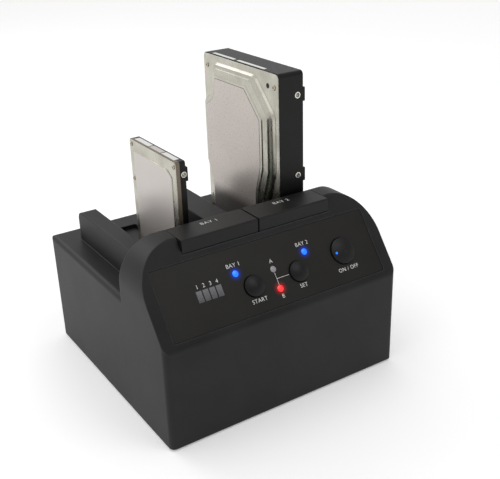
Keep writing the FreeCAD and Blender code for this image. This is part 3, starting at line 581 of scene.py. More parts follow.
# ------------------------------------------------------------------ mesh tools
@dataclass(frozen=True)
class Outline:
    """A closed flat outline as corners (u, v, radius), each with a share of any inset for the edge that follows."""

    corners: tuple[Corner, ...]
    shares: tuple[float, ...] = ()
    least_radius: float = 1.2

    @classmethod
    def rectangle(cls, low: Spot, high: Spot, radius: float) -> Outline:
        """A rectangle between two corners, with one radius for all four."""
        return cls(((*low, radius), (high[0], low[1], radius), (*high, radius), (low[0], high[1], radius)))

    def inset(self, distance: float) -> Outline:
        """Moves every edge inwards.

        Args:
            distance: how far an edge with a share of 1 moves, in mm.

        Returns:
            The smaller outline, with convex corners tighter and hollow ones wider.
        """
        points = [Vector(corner[:2]) for corner in self.corners]
        count = len(points)
        shares = self.shares or (1.0,) * count
        area = sum(points[i - 1].x * points[i].y - points[i].x * points[i - 1].y for i in range(count))
        side = 1.0 if area > 0 else -1.0
        made = []
        for i, point in enumerate(points):
            before = (point - points[i - 1]).normalized()
            after = (points[(i + 1) % count] - point).normalized()
            first = Vector((-before.y, before.x)) * side * distance * shares[i - 1]
            second = Vector((-after.y, after.x)) * side * distance * shares[i]
            turn = before.cross(after)
            moved = point + first + before * ((second - first).cross(after) / turn)
            radius = self.corners[i][2]
            pull = distance * min(shares[i - 1], shares[i])
            if turn * side > 0:
                radius = max(radius - pull, min(radius, self.least_radius))
            else:
                radius += pull
            made.append((moved.x, moved.y, radius))
        return Outline(tuple(made), self.shares)

    def points(self, steps: int = 8) -> list[Vector]:
        """Walks round the outline.

        Args:
            steps: into how many pieces each corner's turn is cut.

        Returns:
            The outline's points, as many for every corner.
        """
        count = len(self.corners)
        made = []
        for i, (u, v, radius) in enumerate(self.corners):
            here = Vector((u, v))
            back = (Vector(self.corners[i - 1][:2]) - here).normalized()
            ahead = (Vector(self.corners[(i + 1) % count][:2]) - here).normalized()
            half = back.angle(ahead) / 2
            run = radius / math.tan(half)
            middle = here + (back + ahead).normalized() * (radius / math.sin(half))
            start = here + back * run - middle
            sweep = start.angle_signed(here + ahead * run - middle)
            made += [middle + Matrix.Rotation(-sweep * k / steps, 2) @ start for k in range(steps + 1)]
        return made

    def loop(self, frame: Matrix, height: float, steps: int = 8) -> list[Vector]:
        """Lays the outline on a frame.

        Args:
            frame: where its plane is, in metres.
            height: how far over the plane it lies, in mm.
            steps: into how many pieces each corner's turn is cut.

        Returns:
            The outline's points in metres.
        """
        return [frame @ Vector((p.x * MM, p.y * MM, height * MM)) for p in self.points(steps)]


def facing(origin: Vector, normal: Vector, up: Vector) -> Matrix:
    """A frame in metres whose Z axis is the normal and whose Y axis is nearest to up.

    Args:
        origin: its origin in mm.
        normal: the way that it faces.
        up: the way that it should point.

    Returns:
        The frame's matrix.
    """
    z = normal.normalized()
    x = up.cross(z).normalized()
    made = Matrix((x, z.cross(x), z)).transposed().to_4x4()
    made.translation = origin * MM
    return made


def add_piece(name: str, body: bmesh.types.BMesh, finish: bpy.types.Material, rides: str,
              smooth: float = 35.0) -> bpy.types.Object:
    """Turns a bmesh into a shown piece.

    Args:
        name: the piece's name.
        body: the mesh, in metres in the model's frame; it is freed.
        finish: its material.
        rides: the CAD body that it moves with.
        smooth: edges below this many degrees are shaded smooth.

    Returns:
        The new object.
    """
    bmesh.ops.recalc_face_normals(body, faces=body.faces)
    limit = math.radians(smooth)
    for face in body.faces:
        face.smooth = True
    for edge in body.edges:
        edge.smooth = len(edge.link_faces) == 2 and edge.calc_face_angle(0.0) < limit
    mesh = bpy.data.meshes.new(name)
    body.to_mesh(mesh)
    body.free()
    piece = bpy.data.objects.new(name, mesh)
    bpy.context.scene.collection.objects.link(piece)
    piece.data.materials.append(finish)
    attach(piece, rides)
    LOG.info("piece %s on %s: %d faces", name, rides, len(mesh.polygons))
    return piece


def fill_loops(body: bmesh.types.BMesh, loops: list[list[Vector]]) -> None:
    """Skins a stack of equal loops and closes both ends.

    Args:
        body: the mesh that gains the skin.
        loops: points in metres, one list for each level, all of the same length.
    """
    rings = [[body.verts.new(point) for point in loop] for loop in loops]
    count = len(rings[0])
    for lower, upper in zip(rings, rings[1:]):
        for i in range(count):
            j = (i + 1) % count
            body.faces.new((lower[i], lower[j], upper[j], upper[i]))
    body.faces.new(rings[0])
    body.faces.new(rings[-1])


def turned(body: bmesh.types.BMesh, profile: tuple[Spot, ...], frame: Matrix, sides: int) -> None:
    """Spins a profile about the frame's Z axis.

    Args:
        body: the mesh that gains the turned form.
        profile: (radius, height) in mm from one end to the other; only the last radius may be 0.
        frame: where its origin and axis are, in metres.
        sides: how many facets it has.
    """
    turns = [2 * math.pi * k / sides for k in range(sides)]
    rings = [[body.verts.new(frame @ Vector((r * MM * math.cos(a), r * MM * math.sin(a), h * MM)))
              for a in (turns if r else turns[:1])] for r, h in profile]
    for lower, upper in zip(rings, rings[1:]):
        for i in range(sides):
            j = (i + 1) % sides
            rest = (upper[0],) if len(upper) == 1 else (upper[j], upper[i])
            body.faces.new((lower[i], lower[j], *rest))


def rounded_block(body: bmesh.types.BMesh, frame: Matrix, size: Place, centre: Spot, base: float,
                  edge: float) -> None:
    """A block with softened edges that stands on a frame's XY plane.

    Args:
        body: the mesh that gains the block.
        frame: where the block stands, in metres.
        size: width, length and height in mm.
        centre: where its middle is on the plane, in mm.
        base: how far up the plane it starts, in mm.
        edge: the width of its chamfers in mm.
    """
    levels = ((base, edge), (base + edge, 0.0), (base + size[2] - edge, 0.0), (base + size[2], edge))
    loops = []
    for height, pull in levels:
        half = (size[0] / 2 - pull, size[1] / 2 - pull)
        low, high = ((centre[0] + side * half[0], centre[1] + side * half[1]) for side in (-1, 1))
        loops.append(Outline.rectangle(low, high, edge * 1.2).loop(frame, height, 3))
    fill_loops(body, loops)


def sheet_piece(name: str, outline: Outline, frame: Matrix, base: float, thick: float,
                finish: bpy.types.Material, rides: str) -> bpy.types.Object:
    """A thin sheet, such as a label, laid on a frame's XY plane with a softened rim.

    Args:
        name: the piece's name.
        outline: its outline on the plane.
        frame: the plane, in metres.
        base: how far over the plane its underside is, in mm.
        thick: its thickness in mm.
        finish: its material.
        rides: the CAD body that it moves with.

    Returns:
        The new object.
    """
    body = bmesh.new()
    rim = min(thick * 0.4, 0.05)
    fill_loops(body, [outline.inset(pull).loop(frame, height)
                      for height, pull in ((base, 0.0), (base + thick - rim, 0.0), (base + thick, rim))])
    return add_piece(name, body, finish, rides)


@dataclass(frozen=True)
class Lettering:
    """Print in a plain typeface, as a very thin mesh."""

    cap: float
    ink: bpy.types.Material
    thick: float = 0.02
    spacing: float = 1.08
    thinner: float = 0.008  # the stock typeface is a little bolder than panel print

    def set(self, name: str, words: str, centre: Spot, frame: Matrix, base: float, rides: str) -> None:
        """Prints words.

        Args:
            name: the piece's name.
            words: what it says.
            centre: the middle of the words on the frame's plane, in mm.
            frame: the plane, in metres.
            base: height of the surface over the plane, in mm.
            rides: the CAD body that it moves with.
        """
        curve = bpy.data.curves.new(name + "_curve", "FONT")
        curve.body = words
        curve.align_x = "CENTER"
        curve.size = 1.0
        curve.resolution_u = 4
        curve.space_character = self.spacing
        curve.offset = -self.thinner
        curve.extrude = 0.01
        holder = bpy.data.objects.new(name + "_holder", curve)
        bpy.context.scene.collection.objects.link(holder)
        bpy.context.view_layer.update()
        flat = bpy.data.meshes.new_from_object(holder.evaluated_get(bpy.context.evaluated_depsgraph_get()))
        bpy.data.objects.remove(holder)
        bpy.data.curves.remove(curve)
        across = [v.co.x for v in flat.vertices]
        middle = (max(across) + min(across)) / 2
        scale = self.cap / max(v.co.y for v in flat.vertices)
        body = bmesh.new()
        body.from_mesh(flat)
        bpy.data.meshes.remove(flat)
        for vert in body.verts:
            u = centre[0] + (vert.co.x - middle) * scale
            v = centre[1] + vert.co.y * scale - self.cap / 2
            level = base + (self.thick if vert.co.z > 0 else 0.0)
            vert.co = frame @ Vector((u * MM, v * MM, level * MM))
        add_piece(name, body, self.ink, rides)


# ------------------------------------------------------------------ the finishes of this object
class Finishes:
    """Every material of the object, made once and shared by its pieces."""

    def __init__(self, glows: tuple[Glow, ...]) -> None:
        """Makes all the finishes.

        Args:
            glows: where the lit lamps spill light on the panel's film.
        """
        # Moulded plastics: the housing's grain is the coarsest, and its lighter edges, partly wear and partly painted
        # highlight, draw the light lines of its form.
        self.case = Moulded("moulded_abs_case", "121213", "5c5d60", 0.5, edge=0.9).make()
        self.key = Moulded("moulded_abs_keys", "131313", "2e2e2f", 0.46, 0.3, 0.02).make()
        self.inner = Moulded("moulded_abs_inside", "121213", "2a2a2b", 0.45, 0.5, 0.02).make()
        self.button = Moulded("moulded_abs_buttons", "131313", "2e2e2f", 0.42, 0.28, 0.018, 0.3).make()
        self.nylon = Moulded("moulded_nylon", "161617", "2e2e30", 0.4, 0.35, 0.012, 0.2).make()
        self.chip = Moulded("moulded_epoxy", "1d1d20", "3a3a3c", 0.42, 0.25, 0.01, 0.15).make()
        self.foot = Rubber("moulded_rubber", "1a1a1a", "4a4844").make()
        # The panel: warm film, off-white print and lenses, of which the lit ones colour the film round them.
        self.film = PrintedFilm("printed_polycarbonate", "191816", "24231f", glows).make()
        self.ink = Ink("screen_printed_ink", "f2f2ee", "cfcfca").make()
        self.blue = LitLens("lit_blue_acrylic", "1c78ff", "0836f0", 1.4).make()
        self.red = LitLens("lit_red_acrylic", "ff3434", "ff0208", 1.6).make()
        self.grey = Diffuser("moulded_grey_acrylic", "7c7c7e", "9a9a9c").make()
        self.level = Diffuser("moulded_smoked_acrylic", "47474a", "77777a").make()
        self.lamp_chip = Diffuser("cast_phosphor_resin", "c8c4a8", "e8e6d8").make()
        # Metals: all keep a soft highlight, drawn out where the metal was rolled, ground or pressed.
        self.black_screw = Painted("blackened_steel", "1d1d1e", "5a5a5a", 0.35).make()
        self.pin = Metal("ground_steel", "b8b8b8", "8f8f8c", 0.22, Lay.LENGTHWISE).make()
        self.spring = Metal("drawn_spring_steel", "9a9a98", "6f6d68", 0.3).make()
        self.port = Metal("pressed_tinplate", "b4b4b2", "8c8a86", 0.3, Lay.LENGTHWISE).make()
        self.casting = Painted("coated_cast_aluminium", "080706", "5d5a55", 0.46).make()
        self.cover = Metal("pressed_stainless_steel", "b8b5aa", "9c988c", 0.27, Lay.UPRIGHT, 0.25, 0.005, 0.3).make()
        self.bright = Metal("turned_bright_aluminium", "d8d6cf", "a8a49a", 0.18).make()
        self.screw = Metal("nickel_plated_steel", "bdb6a4", "857b66", 0.2).make()
        self.solder = Metal("tinned_copper", "c4c4c4", "8e8e8c", 0.3).make()
        # The drives' boards and labels: glossy green, and satin foil that a painted reflection darkens towards its
        # foot.
        self.board = CircuitBoard("woven_glass_fibre", "0b3d24", "4a8a5a").make()
        self.large_label = FoilLabel("laminated_foil_large", "c4bbb4", "6a6562", 106.0, 118.0).make()
        self.small_label = FoilLabel("laminated_foil_small", "c8c1bc", "8b8582", 92.0, 100.0, 0.34).make()
        self.outline = Ink("printed_dark_line", "3a3a38", "4a4a48").make()
        self.white_label = Ink("coated_white_paper", "e9e9e6", "d6d6d2").make()

    def by_slot(self) -> dict[str, bpy.types.Material]:
        """Sorts the finishes by use.

        Returns:
            The finish for each of the record's material slots.
        """
        return {
            "case_plastic": self.case, "key_plastic": self.key, "flap_plastic": self.case,
            "inner_plastic": self.inner, "button_plastic": self.button, "panel_film": self.film,
            "level_lens": self.level, "blue_lamp": self.blue, "red_lamp": self.red, "grey_lamp": self.grey,
            "foot_rubber": self.foot, "screw_steel": self.black_screw, "pin_steel": self.pin,
            "spring_steel": self.spring, "board_green": self.board, "switch_black": self.nylon,
            "chip_black": self.chip, "chip_white": self.lamp_chip, "socket_black": self.nylon,
            "port_metal": self.port, "casting_black": self.casting, "cover_steel": self.cover,
            "drive_screw": self.screw,
        }

    def dress(self, frame: dict) -> None:
        """Gives every CAD node the finish of its material slot.
        """
        by_slot = self.by_slot()
        for part in frame["record"]["subparts"]:
            node = frame["nodes"][part["node"]]
            node.data.materials.clear()
            node.data.materials.append(by_slot[part["material_slot"]])
            LOG.info("node %s: %s", part["node"], part["material_slot"])


# ------------------------------------------------------------------ sub-assemblies
@dataclass(frozen=True)
class Lamp:
    """One lit lamp of the panel: how far across and up the slope it is, and its colour."""

    x: float
    s: float
    colour: str


@dataclass(frozen=True)
class ControlPanel:
    """The sloped panel's printing: names of lamps and buttons, the link lines and the level's numbers."""

    origin: Place = (0.0, -94.0, 75.0)
    up_slope: Place = (0.0, 0.6, 0.8)
    out: Place = (0.0, -0.8, 0.6)
    film: float = -0.45
    lamps: tuple[Lamp, ...] = (Lamp(-28.5, 35.6, "1048ff"), Lamp(28.5, 35.6, "1048ff"), Lamp(0.0, 16.6, "ff1010"))
    words: tuple[tuple[str, str, float, float], ...] = (
        ("bay_1_name", "BAY 1", -28.4, 41.6), ("bay_2_name", "BAY 2", 28.8, 41.6), ("link_name", "A", 0.3, 36.4),
        ("start_name", "START", -18.0, 13.6), ("copy_name", "B", 0.3, 11.2), ("set_name", "SET", 18.6, 13.6),
        ("power_name", "ON / OFF", 58.6, 14.6))
    cap: float = 2.7
    first_number: Spot = (-58.4, 34.9)
    number_pitch: float = 5.0
    lines: tuple[tuple[str, Spot, Spot], ...] = (
        ("link_line_down", (0.0, 19.2), (0.0, 28.0)), ("link_line_across", (0.0, 23.7), (10.2, 23.7)))
    half_line: float = 0.13

    def glows(self) -> tuple[Glow, ...]:
        """Finds where light spills.

        Returns:
            The halos that the lit lamps leave on the film.
        """
        out = Vector(self.out) * self.film
        return tuple(Glow(tuple(Vector(self.origin) + ACROSS * lamp.x + Vector(self.up_slope) * lamp.s + out),
                          lamp.colour) for lamp in self.lamps)

    def build(self, finishes: Finishes) -> None:
        """Prints the panel.

        Args:
            finishes: the object's materials.
        """
        plane = facing(Vector(self.origin), Vector(self.out), Vector(self.up_slope))
        printing = Lettering(self.cap, finishes.ink)
        x, s = self.first_number
        numbers = tuple(("level_number_%d" % (i + 1), str(i + 1), x + self.number_pitch * i, s) for i in range(4))
        for name, words, x, s in self.words + numbers:
            printing.set(name, words, (x, s), plane, self.film, "case")
        half = self.half_line
        for name, (x0, s0), (x1, s1) in self.lines:
            line = Outline.rectangle((x0 - half, s0 - half), (x1 + half, s1 + half), 0.1)
            sheet_piece(name, line, plane, self.film, printing.thick, finishes.ink, "case")


@dataclass(frozen=True)
class Keys:
    """The eject keys: the names on their tops, and the stop behind the split between them."""

    top: float = 131.0
    words_y: float = -42.5
    middles: tuple[float, float] = (-30.0, 30.0)
    cap: float = 3.4
    stop_foot: float = 108.0
    stop_drop: float = 1.0
    stop_front: float = -35.15
    stop_thick: float = 0.6
    stop_half: float = 1.6
    stem_half: float = 0.35
    stem: float = 1.0

    def build(self, finishes: Finishes) -> None:
        """Prints the bay's name on each key and closes the split behind them.

        Args:
            finishes: the object's materials.
        """
        plane = facing(UP * self.top, UP, BACK)
        for bay, x in enumerate(self.middles, 1):
            Lettering(self.cap, finishes.ink).set("key_%d_name" % bay, "BAY %d" % bay, (x, self.words_y), plane, 0.0,
                                                  "eject_key_%d" % bay)
        self.split_stop(finishes)

    def split_stop(self, finishes: Finishes) -> None:
        """The T-shaped end of the rib between the keys, which keeps light out of the split.

        Args:
            finishes: the object's materials.
        """
        half, stem, front = self.stop_half, self.stem_half, self.stop_front
        back = front + self.stop_thick
        corners = ((-stem, front - self.stem), (stem, front - self.stem), (stem, front), (half, front),
                   (half, back), (-half, back), (-half, front), (-stem, front))
        sheet_piece("key_split_stop", Outline(tuple((*corner, 0.05) for corner in corners)),
                    facing(UP * self.stop_foot, UP, BACK), 0.0, self.top - self.stop_drop - self.stop_foot,
                    finishes.case, "case")


@dataclass
class DriveTrim:
    """What both drives share: a frame on each face, screws, labels and parts on the circuit board."""

    finishes: Finishes
    name: str
    seat: float = 71.5

    def __post_init__(self) -> None:
        """Reads the drive's place from the frame, in mm."""
        (_, self.front, _), (self.right, self.back, top) = (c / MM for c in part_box(self.name + "_casting"))
        self.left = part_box(self.name + "_cover")[0][0] / MM
        (_, self.board_front, self.board_foot), (face, _, _) = (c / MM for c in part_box(self.name + "_board"))
        self.cover_plane = facing(ACROSS * 0, -ACROSS, UP)
        self.board_plane = facing(ACROSS * face, ACROSS, UP)
        self.top_plane = facing(UP * top, UP, BACK)

    @property
    def prefix(self) -> str:
        """The word that the names of the drive's pieces start with."""
        return self.name.split("_")[0]

    def cover_spot(self, a: float, h: float) -> Spot:
        """A place on the cover's plane: a mm behind the front edge and h mm above the foot."""
        return -(self.front + a), self.seat + h

    def cover_outline(self, corners: tuple[Corner, ...], shares: tuple[float, ...] = ()) -> Outline:
        """An outline on the cover's plane.

        Args:
            corners: (distance behind the front edge, height above the foot, radius) for each corner.
            shares: the edges' shares of an inset.

        Returns:
            The outline.
        """
        return Outline(tuple((*self.cover_spot(a, h), radius) for a, h, radius in corners), shares)

    def screws(self, places: tuple[Spot, ...], face: float, radius: float) -> None:
        """Pan-head screws with a round recess, standing on the cover, each a piece of its own.

        Args:
            places: how far behind the front edge and above the foot each one is.
            face: how far across X their seat is.
            radius: their heads' radius.
        """
        rise = 0.7
        profile = ((radius, 0.0), (radius, rise * 0.55), (radius * 0.9, rise * 0.85), (radius * 0.62, rise),
                   (radius * 0.48, rise), (radius * 0.42, rise * 0.35), (0.0, rise * 0.3))
        for i, (a, h) in enumerate(places, 1):
            u, v = self.cover_spot(a, h)
            body = bmesh.new()
            turned(body, profile, self.cover_plane @ Matrix.Translation((u * MM, v * MM, -face * MM)), 36)
            add_piece("%s_screw_%d" % (self.prefix, i), body, self.finishes.screw, self.name)

    def labels(self, name: str, spans: tuple[Spot, ...], inset: float, wide: float, radius: float, thick: float,
               finishes: tuple[bpy.types.Material, ...]) -> None:
        """Strip labels along the top edge.

        Args:
            name: what the pieces' names start with.
            spans: where each strip starts and ends along Y.
            inset: how far right of the cover's face they are.
            wide: how wide they are.
            radius: their corners' radius.
            thick: their thickness.
            finishes: each strip's material.
        """
        left = self.left + inset
        for i, ((low, high), finish) in enumerate(zip(spans, finishes), 1):
            strip = Outline.rectangle((left, low), (left + wide, high), radius)
            sheet_piece("%s_%d" % (name, i), strip, self.top_plane, 0.0, thick, finish, self.name)

    def side_rims(self, inset: float, rises: tuple[float, ...], profile: tuple[Spot, ...], sides: int) -> None:
        """Bright countersinks round the threaded holes in both sides, as one piece.

        Args:
            inset: how far left of the drive's right face the holes are.
            rises: how far above the foot they are.
            profile: the turned form of one of them.
            sides: how many facets it has.
        """
        body = bmesh.new()
        for rise in rises:
            for y, way in ((self.front, -1.0), (self.back, 1.0)):
                turned(body, profile, facing(Vector((self.right - inset, y, self.seat + rise)), BACK * way, UP), sides)
        add_piece(self.prefix + "_side_threads", body, self.finishes.bright, self.name)

    def chip(self, name: str, a: float, h: float, size: Place, legs: int) -> None:
        """A moulded chip with gull-wing legs on two sides of the circuit board.

        Args:
            name: the piece's name.
            a: how far behind the board's front edge its middle is.
            h: how far above the board's foot its middle is.
            size: its width, height and rise.
            legs: how many legs it has on a side.
        """
        wide, tall, _ = size
        y, z = self.board_front + a, self.board_foot + h
        body = bmesh.new()
        rounded_block(body, self.board_plane, size, (y, z), 0.05, 0.12)
        add_piece(name, body, self.finishes.chip, self.name)
        body = bmesh.new()
        pitch = tall * 0.86 / legs
        for side in (-1, 1):
            for k in range(legs):
                spot = (y + side * (wide / 2 + 0.35), z + (k - (legs - 1) / 2) * pitch)
                rounded_block(body, self.board_plane, (0.9, pitch * 0.45, 0.3), spot, 0.0, 0.06)
        add_piece(name + "_legs", body, self.finishes.solder, self.name)

    def small_parts(self, start: Spot, pitch: Spot, count: Spot, skip: int) -> None:
        """Chip capacitors and resistors in rows with gaps, in one piece for each finish.

        Args:
            start: the first one's place from the board's front edge and foot.
            pitch: the steps along a row and between rows.
            count: how many fit along a row, and how many there are with the gaps.
            skip: every one whose number this divides is left out.
        """
        body = bmesh.new()
        ends = bmesh.new()
        for i in range(count[1]):
            if i % skip == 0:
                continue
            y = self.board_front + start[0] + pitch[0] * (i % count[0])
            z = self.board_foot + start[1] + pitch[1] * (i // count[0])
            rounded_block(body, self.board_plane, (1.0, 1.0, 0.55), (y, z), 0.0, 0.06)
            for side in (-1, 1):
                rounded_block(ends, self.board_plane, (0.45, 1.02, 0.57), (y + side * 0.7, z), 0.0, 0.06)
        add_piece(self.prefix + "_small_parts", body, self.finishes.chip, self.name)
        add_piece(self.prefix + "_small_parts_ends", ends, self.finishes.solder, self.name)


@dataclass
class LargeDrive(DriveTrim):
    """The large drive: a pressed lid with a broad bevel, a blank foil label, strips and screws."""

    name: str = "large_drive"
    relief: float = 3.2
    lid_profile: tuple[Spot, ...] = (
        (0.0, -0.05), (0.35, 0.3), (1.4, 1.3), (1.9, 1.6), (2.5, 1.74), (5.0, 2.0), (5.5, 2.1), (6.3, 2.55),
        (6.8, 2.66), (7.4, 2.7), (12.2, 2.76), (12.7, 2.82), (13.3, 3.08), (13.7, 3.17), (14.2, 3.2))
    flange: tuple[Corner, ...] = ((0.5, 9, 3.0), (101.1, 9, 3.0), (101.1, 146.5, 3.0), (0.5, 146.5, 3.0))
    field: tuple[Corner, ...] = (
        (11, 12, 5), (93.6, 12, 5), (93.6, 46, 8), (100.2, 60, 8), (100.2, 111, 5), (88.5, 117, 9),
        (85.5, 141.8, 6), (28.5, 141.8, 9), (4.2, 117, 9), (4.2, 72, 10), (11, 50, 10))
    shares: tuple[float, ...] = (0.4, 0.3, 0.3, 0.3, 0.35, 0.35, 0.72, 1.0, 1.0, 1.0, 1.0)
    label_inset: float = 16.6
    label_sunk: float = 0.01
    label_thick: float = 0.06
    line_wide: float = 0.6
    line_sunk: float = 0.02
    line_thick: float = 0.03
    screw_spots: tuple[Spot, ...] = ((5.3, 137.0), (96.1, 137.5), (4.8, 30.0), (96.0, 30.0))
    screw_radius: float = 1.9
    breather: Spot = (13.0, 137.0)
    strips: tuple[Spot, ...] = ((10.5, 41.0), (45.0, 81.0))

    def build(self) -> None:
        """Makes the lid and its trim."""
        field = self.cover_outline(self.field, self.shares)
        self.lid(field)
        label = field.inset(self.label_inset)
        sheet_piece("large_label_outline", label.inset(-self.line_wide), self.cover_plane,
                    -self.left - self.line_sunk, self.line_thick, self.finishes.outline, self.name)
        sheet_piece("large_label", label, self.cover_plane, -self.left - self.label_sunk, self.label_thick,
                    self.finishes.large_label, self.name)
        self.screws(self.screw_spots, self.left + self.relief, self.screw_radius)
        self.breather_hole()
        spans = tuple((self.back - end, self.back - start) for start, end in self.strips)
        self.labels("top_label", spans, self.relief + 1.9, 3.0, 0.5, self.label_thick,
                    (self.finishes.white_label,) * 2)
        self.side_rims(6.35, (28.5, 70.1, 130.1), ((2.35, -0.3), (2.35, 0.02), (2.2, 0.06), (1.6, 0.04), (1.45, -0.5),
                                                   (1.3, -3.0), (0.0, -3.1)), 32)
        self.chip("large_chip_main", 44, 58, (14, 14, 0.9), 16)
        self.chip("large_chip_motor", 66, 30, (9, 9, 0.85), 10)
        self.chip("large_chip_memory", 24, 56, (8, 12, 0.9), 12)
        self.chip("large_chip_small", 70, 66, (5, 6, 0.8), 4)
        self.small_parts((12, 22), (5.2, 9.5), (13, 39), 4)

    def lid(self, field: Outline) -> None:
        """The pressed lid: a flange, and a field lofted through insets so that its bevels catch light as steel does.

        Args:
            field: the raised field's outline, with a hollow round the corner screw and a narrow waist.
        """
        body = bmesh.new()
        face = -self.left - self.relief
        flange = self.cover_outline(self.flange)
        levels = ((face - 0.8, 0.0), (face - 0.12, 0.0), (face, 0.15))
        fill_loops(body, [flange.inset(pull).loop(self.cover_plane, level, 6) for level, pull in levels])
        fill_loops(body, [field.inset(pull).loop(self.cover_plane, face + rise) for pull, rise in self.lid_profile])
        lid = add_piece("large_lid", body, self.finishes.cover, self.name, 28.0)
        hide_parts("large_drive_cover")

    def breather_hole(self) -> None:
        """The breather hole beside the upper front screw: no hole is cut, and a dark dish stands in as painted shade.
        """
        u, v = self.cover_spot(*self.breather)
        frame = self.cover_plane @ Matrix.Translation((u * MM, v * MM, (-self.left - self.relief) * MM))
        # Painted shade: the shallow dish in the black coat stands for the dark inside of the hole.
        body = bmesh.new()
        turned(body, ((1.9, 0.0), (1.9, 0.05), (1.5, 0.09), (1.3, 0.03), (0.0, 0.02)), frame, 28)
        hole = add_piece("large_breather", body, self.finishes.casting, self.name)
        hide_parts("large_drive_screws")


@dataclass
class SmallDrive(DriveTrim):
    """The small drive: a blank label, screws, strip labels and parts on its board."""

    name: str = "small_drive"
    bare_band: float = 3.4
    label: tuple[Corner, ...] = ((6.6, 14.6, 1.5), (63.7, 14.6, 1.5), (63.7, 91.6, 1.5), (13.4, 91.6, 2.0),
                                 (6.6, 87.4, 2.0))
    screw_spots: tuple[Spot, ...] = ((3.0, 96.5), (66.8, 96.5), (3.0, 40.0), (66.8, 70.0))
    screw_radius: float = 1.6
    strips: tuple[Spot, ...] = ((0.08, 0.34), (0.36, 0.6), (0.62, 0.93))
    label_thick: float = 0.05

    def build(self) -> None:
        """Makes the drive's trim, and leaves its casting bare in a band beside the cover."""
        bare = Painted("part_coated_cast_aluminium", "080706", "7a6f62", 0.4, self.left + self.bare_band)
        bpy.data.objects["small_drive_casting"].data.materials[0] = bare.make()
        sheet_piece("small_label", self.cover_outline(self.label), self.cover_plane, -self.left, self.label_thick,
                    self.finishes.small_label, self.name)
        self.screws(self.screw_spots, self.left + 0.4, self.screw_radius)
        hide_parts("small_drive_screws")
        length = self.back - self.front
        spans = tuple((self.front + start * length, self.front + end * length) for start, end in self.strips)
        white, foil = self.finishes.white_label, self.finishes.small_label
        self.labels("small_top_label", spans, 2.4, 4.2, 0.4, self.label_thick, (white, foil, white))
        self.side_rims(3.0, (14.0, 90.6), ((2.1, -0.3), (2.1, 0.02), (1.9, 0.05), (1.65, 0.03), (1.55, -0.5),
                                           (1.4, -2.5), (0.0, -2.6)), 28)
        self.chip("small_chip_main", 30, 40, (11, 11, 0.5), 14)
        self.chip("small_chip_motor", 14, 30, (7, 7, 0.5), 8)
        self.small_parts((6, 16), (4.4, 7.5), (10, 40), 3)


@dataclass(frozen=True)
class Winding:
    """The wire of a coil spring: its own radius, the coil's radius and the number of turns."""

    wire: float
    coil: float
    turns: int
    steps: int = 20
    sides: int = 8

    def wind(self, body: bmesh.types.BMesh, middle: Vector, axis: Vector, length: float) -> None:
        """Sweeps one round wire into a spring.

        Args:
            body: the mesh that gains the spring.
            middle: its middle in mm.
            axis: the way that it points.
            length: its length in mm, ends included.
        """
        across = axis.cross(ACROSS)
        steps = self.turns * self.steps
        turns = [2 * math.pi * j / self.sides for j in range(self.sides)]
        rings = []
        for k in range(steps + 1):
            angle = 2 * math.pi * k / self.steps
            out = ACROSS * math.cos(angle) + across * math.sin(angle)
            centre = middle + out * self.coil + axis * ((length - 2 * self.wire) * (k / steps - 0.5))
            rings.append([(centre + (out * math.cos(a) + axis * math.sin(a)) * self.wire) * MM for a in turns])
        fill_loops(body, rings)


@dataclass(frozen=True)
class Springs:
    """Wound springs in place of the sleeves that CAD keeps for them: on the flaps' pins and under the keys."""

    flap: Winding = Winding(0.25, 1.42, 16)
    key: Winding = Winding(0.45, 2.9, 9)
    key_travel: float = 5.0

    def build(self, finishes: Finishes) -> None:
        """Winds the springs of both bays.

        Args:
            finishes: the object's materials.
        """
        for bay in (1, 2):
            low, high = (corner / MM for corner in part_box("flap_spring_%d" % bay))
            body = bmesh.new()
            self.flap.wind(body, (low + high) / 2, BACK, high[1] - low[1])
            self.place("flap_coil_%d" % bay, body, "flap_spring_%d" % bay, finishes)
            low, high = (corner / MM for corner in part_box("key_springs_%d" % bay))
            edge = self.key.coil + 0.5
            length = high[2] - low[2]
            body = bmesh.new()
            for x in (low[0] + edge, high[0] - edge):
                middle = (low + high) / 2
                middle.x = x
                self.key.wind(body, middle, UP, length)
            coils = self.place("key_coils_%d" % bay, body, "key_springs_%d" % bay, finishes)
            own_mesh(coils)

    def place(self, name: str, body: bmesh.types.BMesh, sleeve: str, finishes: Finishes) -> bpy.types.Object:
        """Puts wound wire in a sleeve's place.

        Args:
            name: the piece's name.
            body: the wire.
            sleeve: the CAD node that it stands for.
            finishes: the object's materials.

        Returns:
            The new object.
        """
        coil = add_piece(name, body, finishes.spring, "case")
        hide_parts(sleeve)
        return coil


# ------------------------------------------------------------------ studio
@dataclass(frozen=True)
class Softbox:
    """A square white studio light, in metres and watts."""

    name: str
    place: Place
    size: float
    power: float

    def build(self, target: Vector) -> None:
        """Hangs the light.

        Args:
            target: the point that it faces, in metres.
        """
        lamp = bpy.data.lights.new(self.name, "AREA")
        lamp.size = self.size
        lamp.energy = self.power
        holder = bpy.data.objects.new(self.name, lamp)
        holder.location = self.place
        holder.rotation_euler = (target - Vector(self.place)).to_track_quat("-Z", "Y").to_euler()
        bpy.context.scene.collection.objects.link(holder)


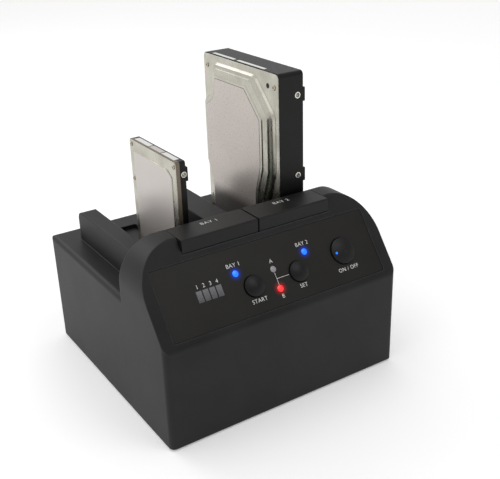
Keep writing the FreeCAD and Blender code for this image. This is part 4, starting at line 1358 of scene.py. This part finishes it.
@dataclass(frozen=True)
class Studio:
    """A pale floor, soft lights and the camera, in metres and degrees."""

    lights: tuple[Softbox, ...] = (
        Softbox("key_light", (-1.2, -0.25, 1.1), 0.7, 1.2),
        Softbox("front_light", (0.45, -0.8, 1.3), 0.7, 4.0),
        Softbox("back_light", (-0.35, 1.1, 0.85), 0.6, 2.8),
    )
    lit_point: Place = (0.0, 0.0, 0.09)
    floor_size: float = 60.0
    bright_way: Place = (-0.4, 0.85, 0.34)
    camera_place: Place = (-0.283, -0.4905, 0.354)
    aim: Place = (0.003, -0.0424, 0.1085)
    roll: float = -1.87
    lens: float = 59.4

    def build(self) -> None:
        """Sets the stage."""
        self.floor()
        for light in self.lights:
            light.build(Vector(self.lit_point))
        self.sky()
        self.camera()
        bpy.context.scene.view_settings.view_transform = "Standard"

    def floor(self) -> None:
        """A large sheet under the object."""
        body = bmesh.new()
        bmesh.ops.create_grid(body, x_segments=2, y_segments=2, size=self.floor_size)
        mesh = bpy.data.meshes.new("floor")
        body.to_mesh(mesh)
        body.free()
        sheet = bpy.data.objects.new("floor", mesh)
        mesh.materials.append(LightTable("lit_opal_acrylic", "f6f6f6", "e8e8e8", 0.26).make())
        bpy.context.scene.collection.objects.link(sheet)

    def sky(self) -> None:
        """White light: a band round the horizon, and above it full from behind and the left, dim from the front."""
        world = bpy.data.worlds.new("studio")
        world.use_nodes = True
        graph = Graph(world.node_tree)
        way = graph.add("TexCoord", output="Generated")
        lean = graph.add("VectorMath", (way, Vector(self.bright_way).normalized()), "Value", operation="DOT_PRODUCT")
        height = graph.add("SeparateXYZ", (way,), "Z")
        strength = graph.add("Math", (graph.add("MapRange", (lean, -0.6, 0.6, 0.1, 0.98)),
                                      graph.add("MapRange", (height, 0.2, 0.4, 0.95, 0.0))), operation="MAXIMUM")
        sky = graph.add("Background", {"Color": linear("ffffff"), "Strength": strength})
        graph.add("OutputWorld", {"Surface": sky})
        bpy.context.scene.world = world

    def camera(self) -> None:
        """The camera, from the front left and a little above."""
        lens = bpy.data.cameras.new("camera")
        lens.lens = self.lens
        lens.sensor_width = 36.0
        holder = bpy.data.objects.new("camera", lens)
        holder.location = self.camera_place
        look = (Vector(self.aim) - Vector(self.camera_place)).to_track_quat("-Z", "Y").to_matrix().to_4x4()
        holder.rotation_euler = (look @ Matrix.Rotation(math.radians(self.roll), 4, "Z")).to_euler()
        bpy.context.scene.collection.objects.link(holder)
        bpy.context.scene.camera = holder


def main() -> None:
    """Builds the looks in order: frame, finishes, printing, drives, springs and studio."""
    logging.basicConfig(level=logging.INFO, format="%(name)s: %(message)s")
    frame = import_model()
    panel = ControlPanel()
    finishes = Finishes(panel.glows())
    finishes.dress(frame)
    panel.build(finishes)
    Keys().build(finishes)
    SmallDrive(finishes).build()
    LargeDrive(finishes).build()
    Springs().build(finishes)
    Studio().build()


if __name__ == "__main__":
    main()
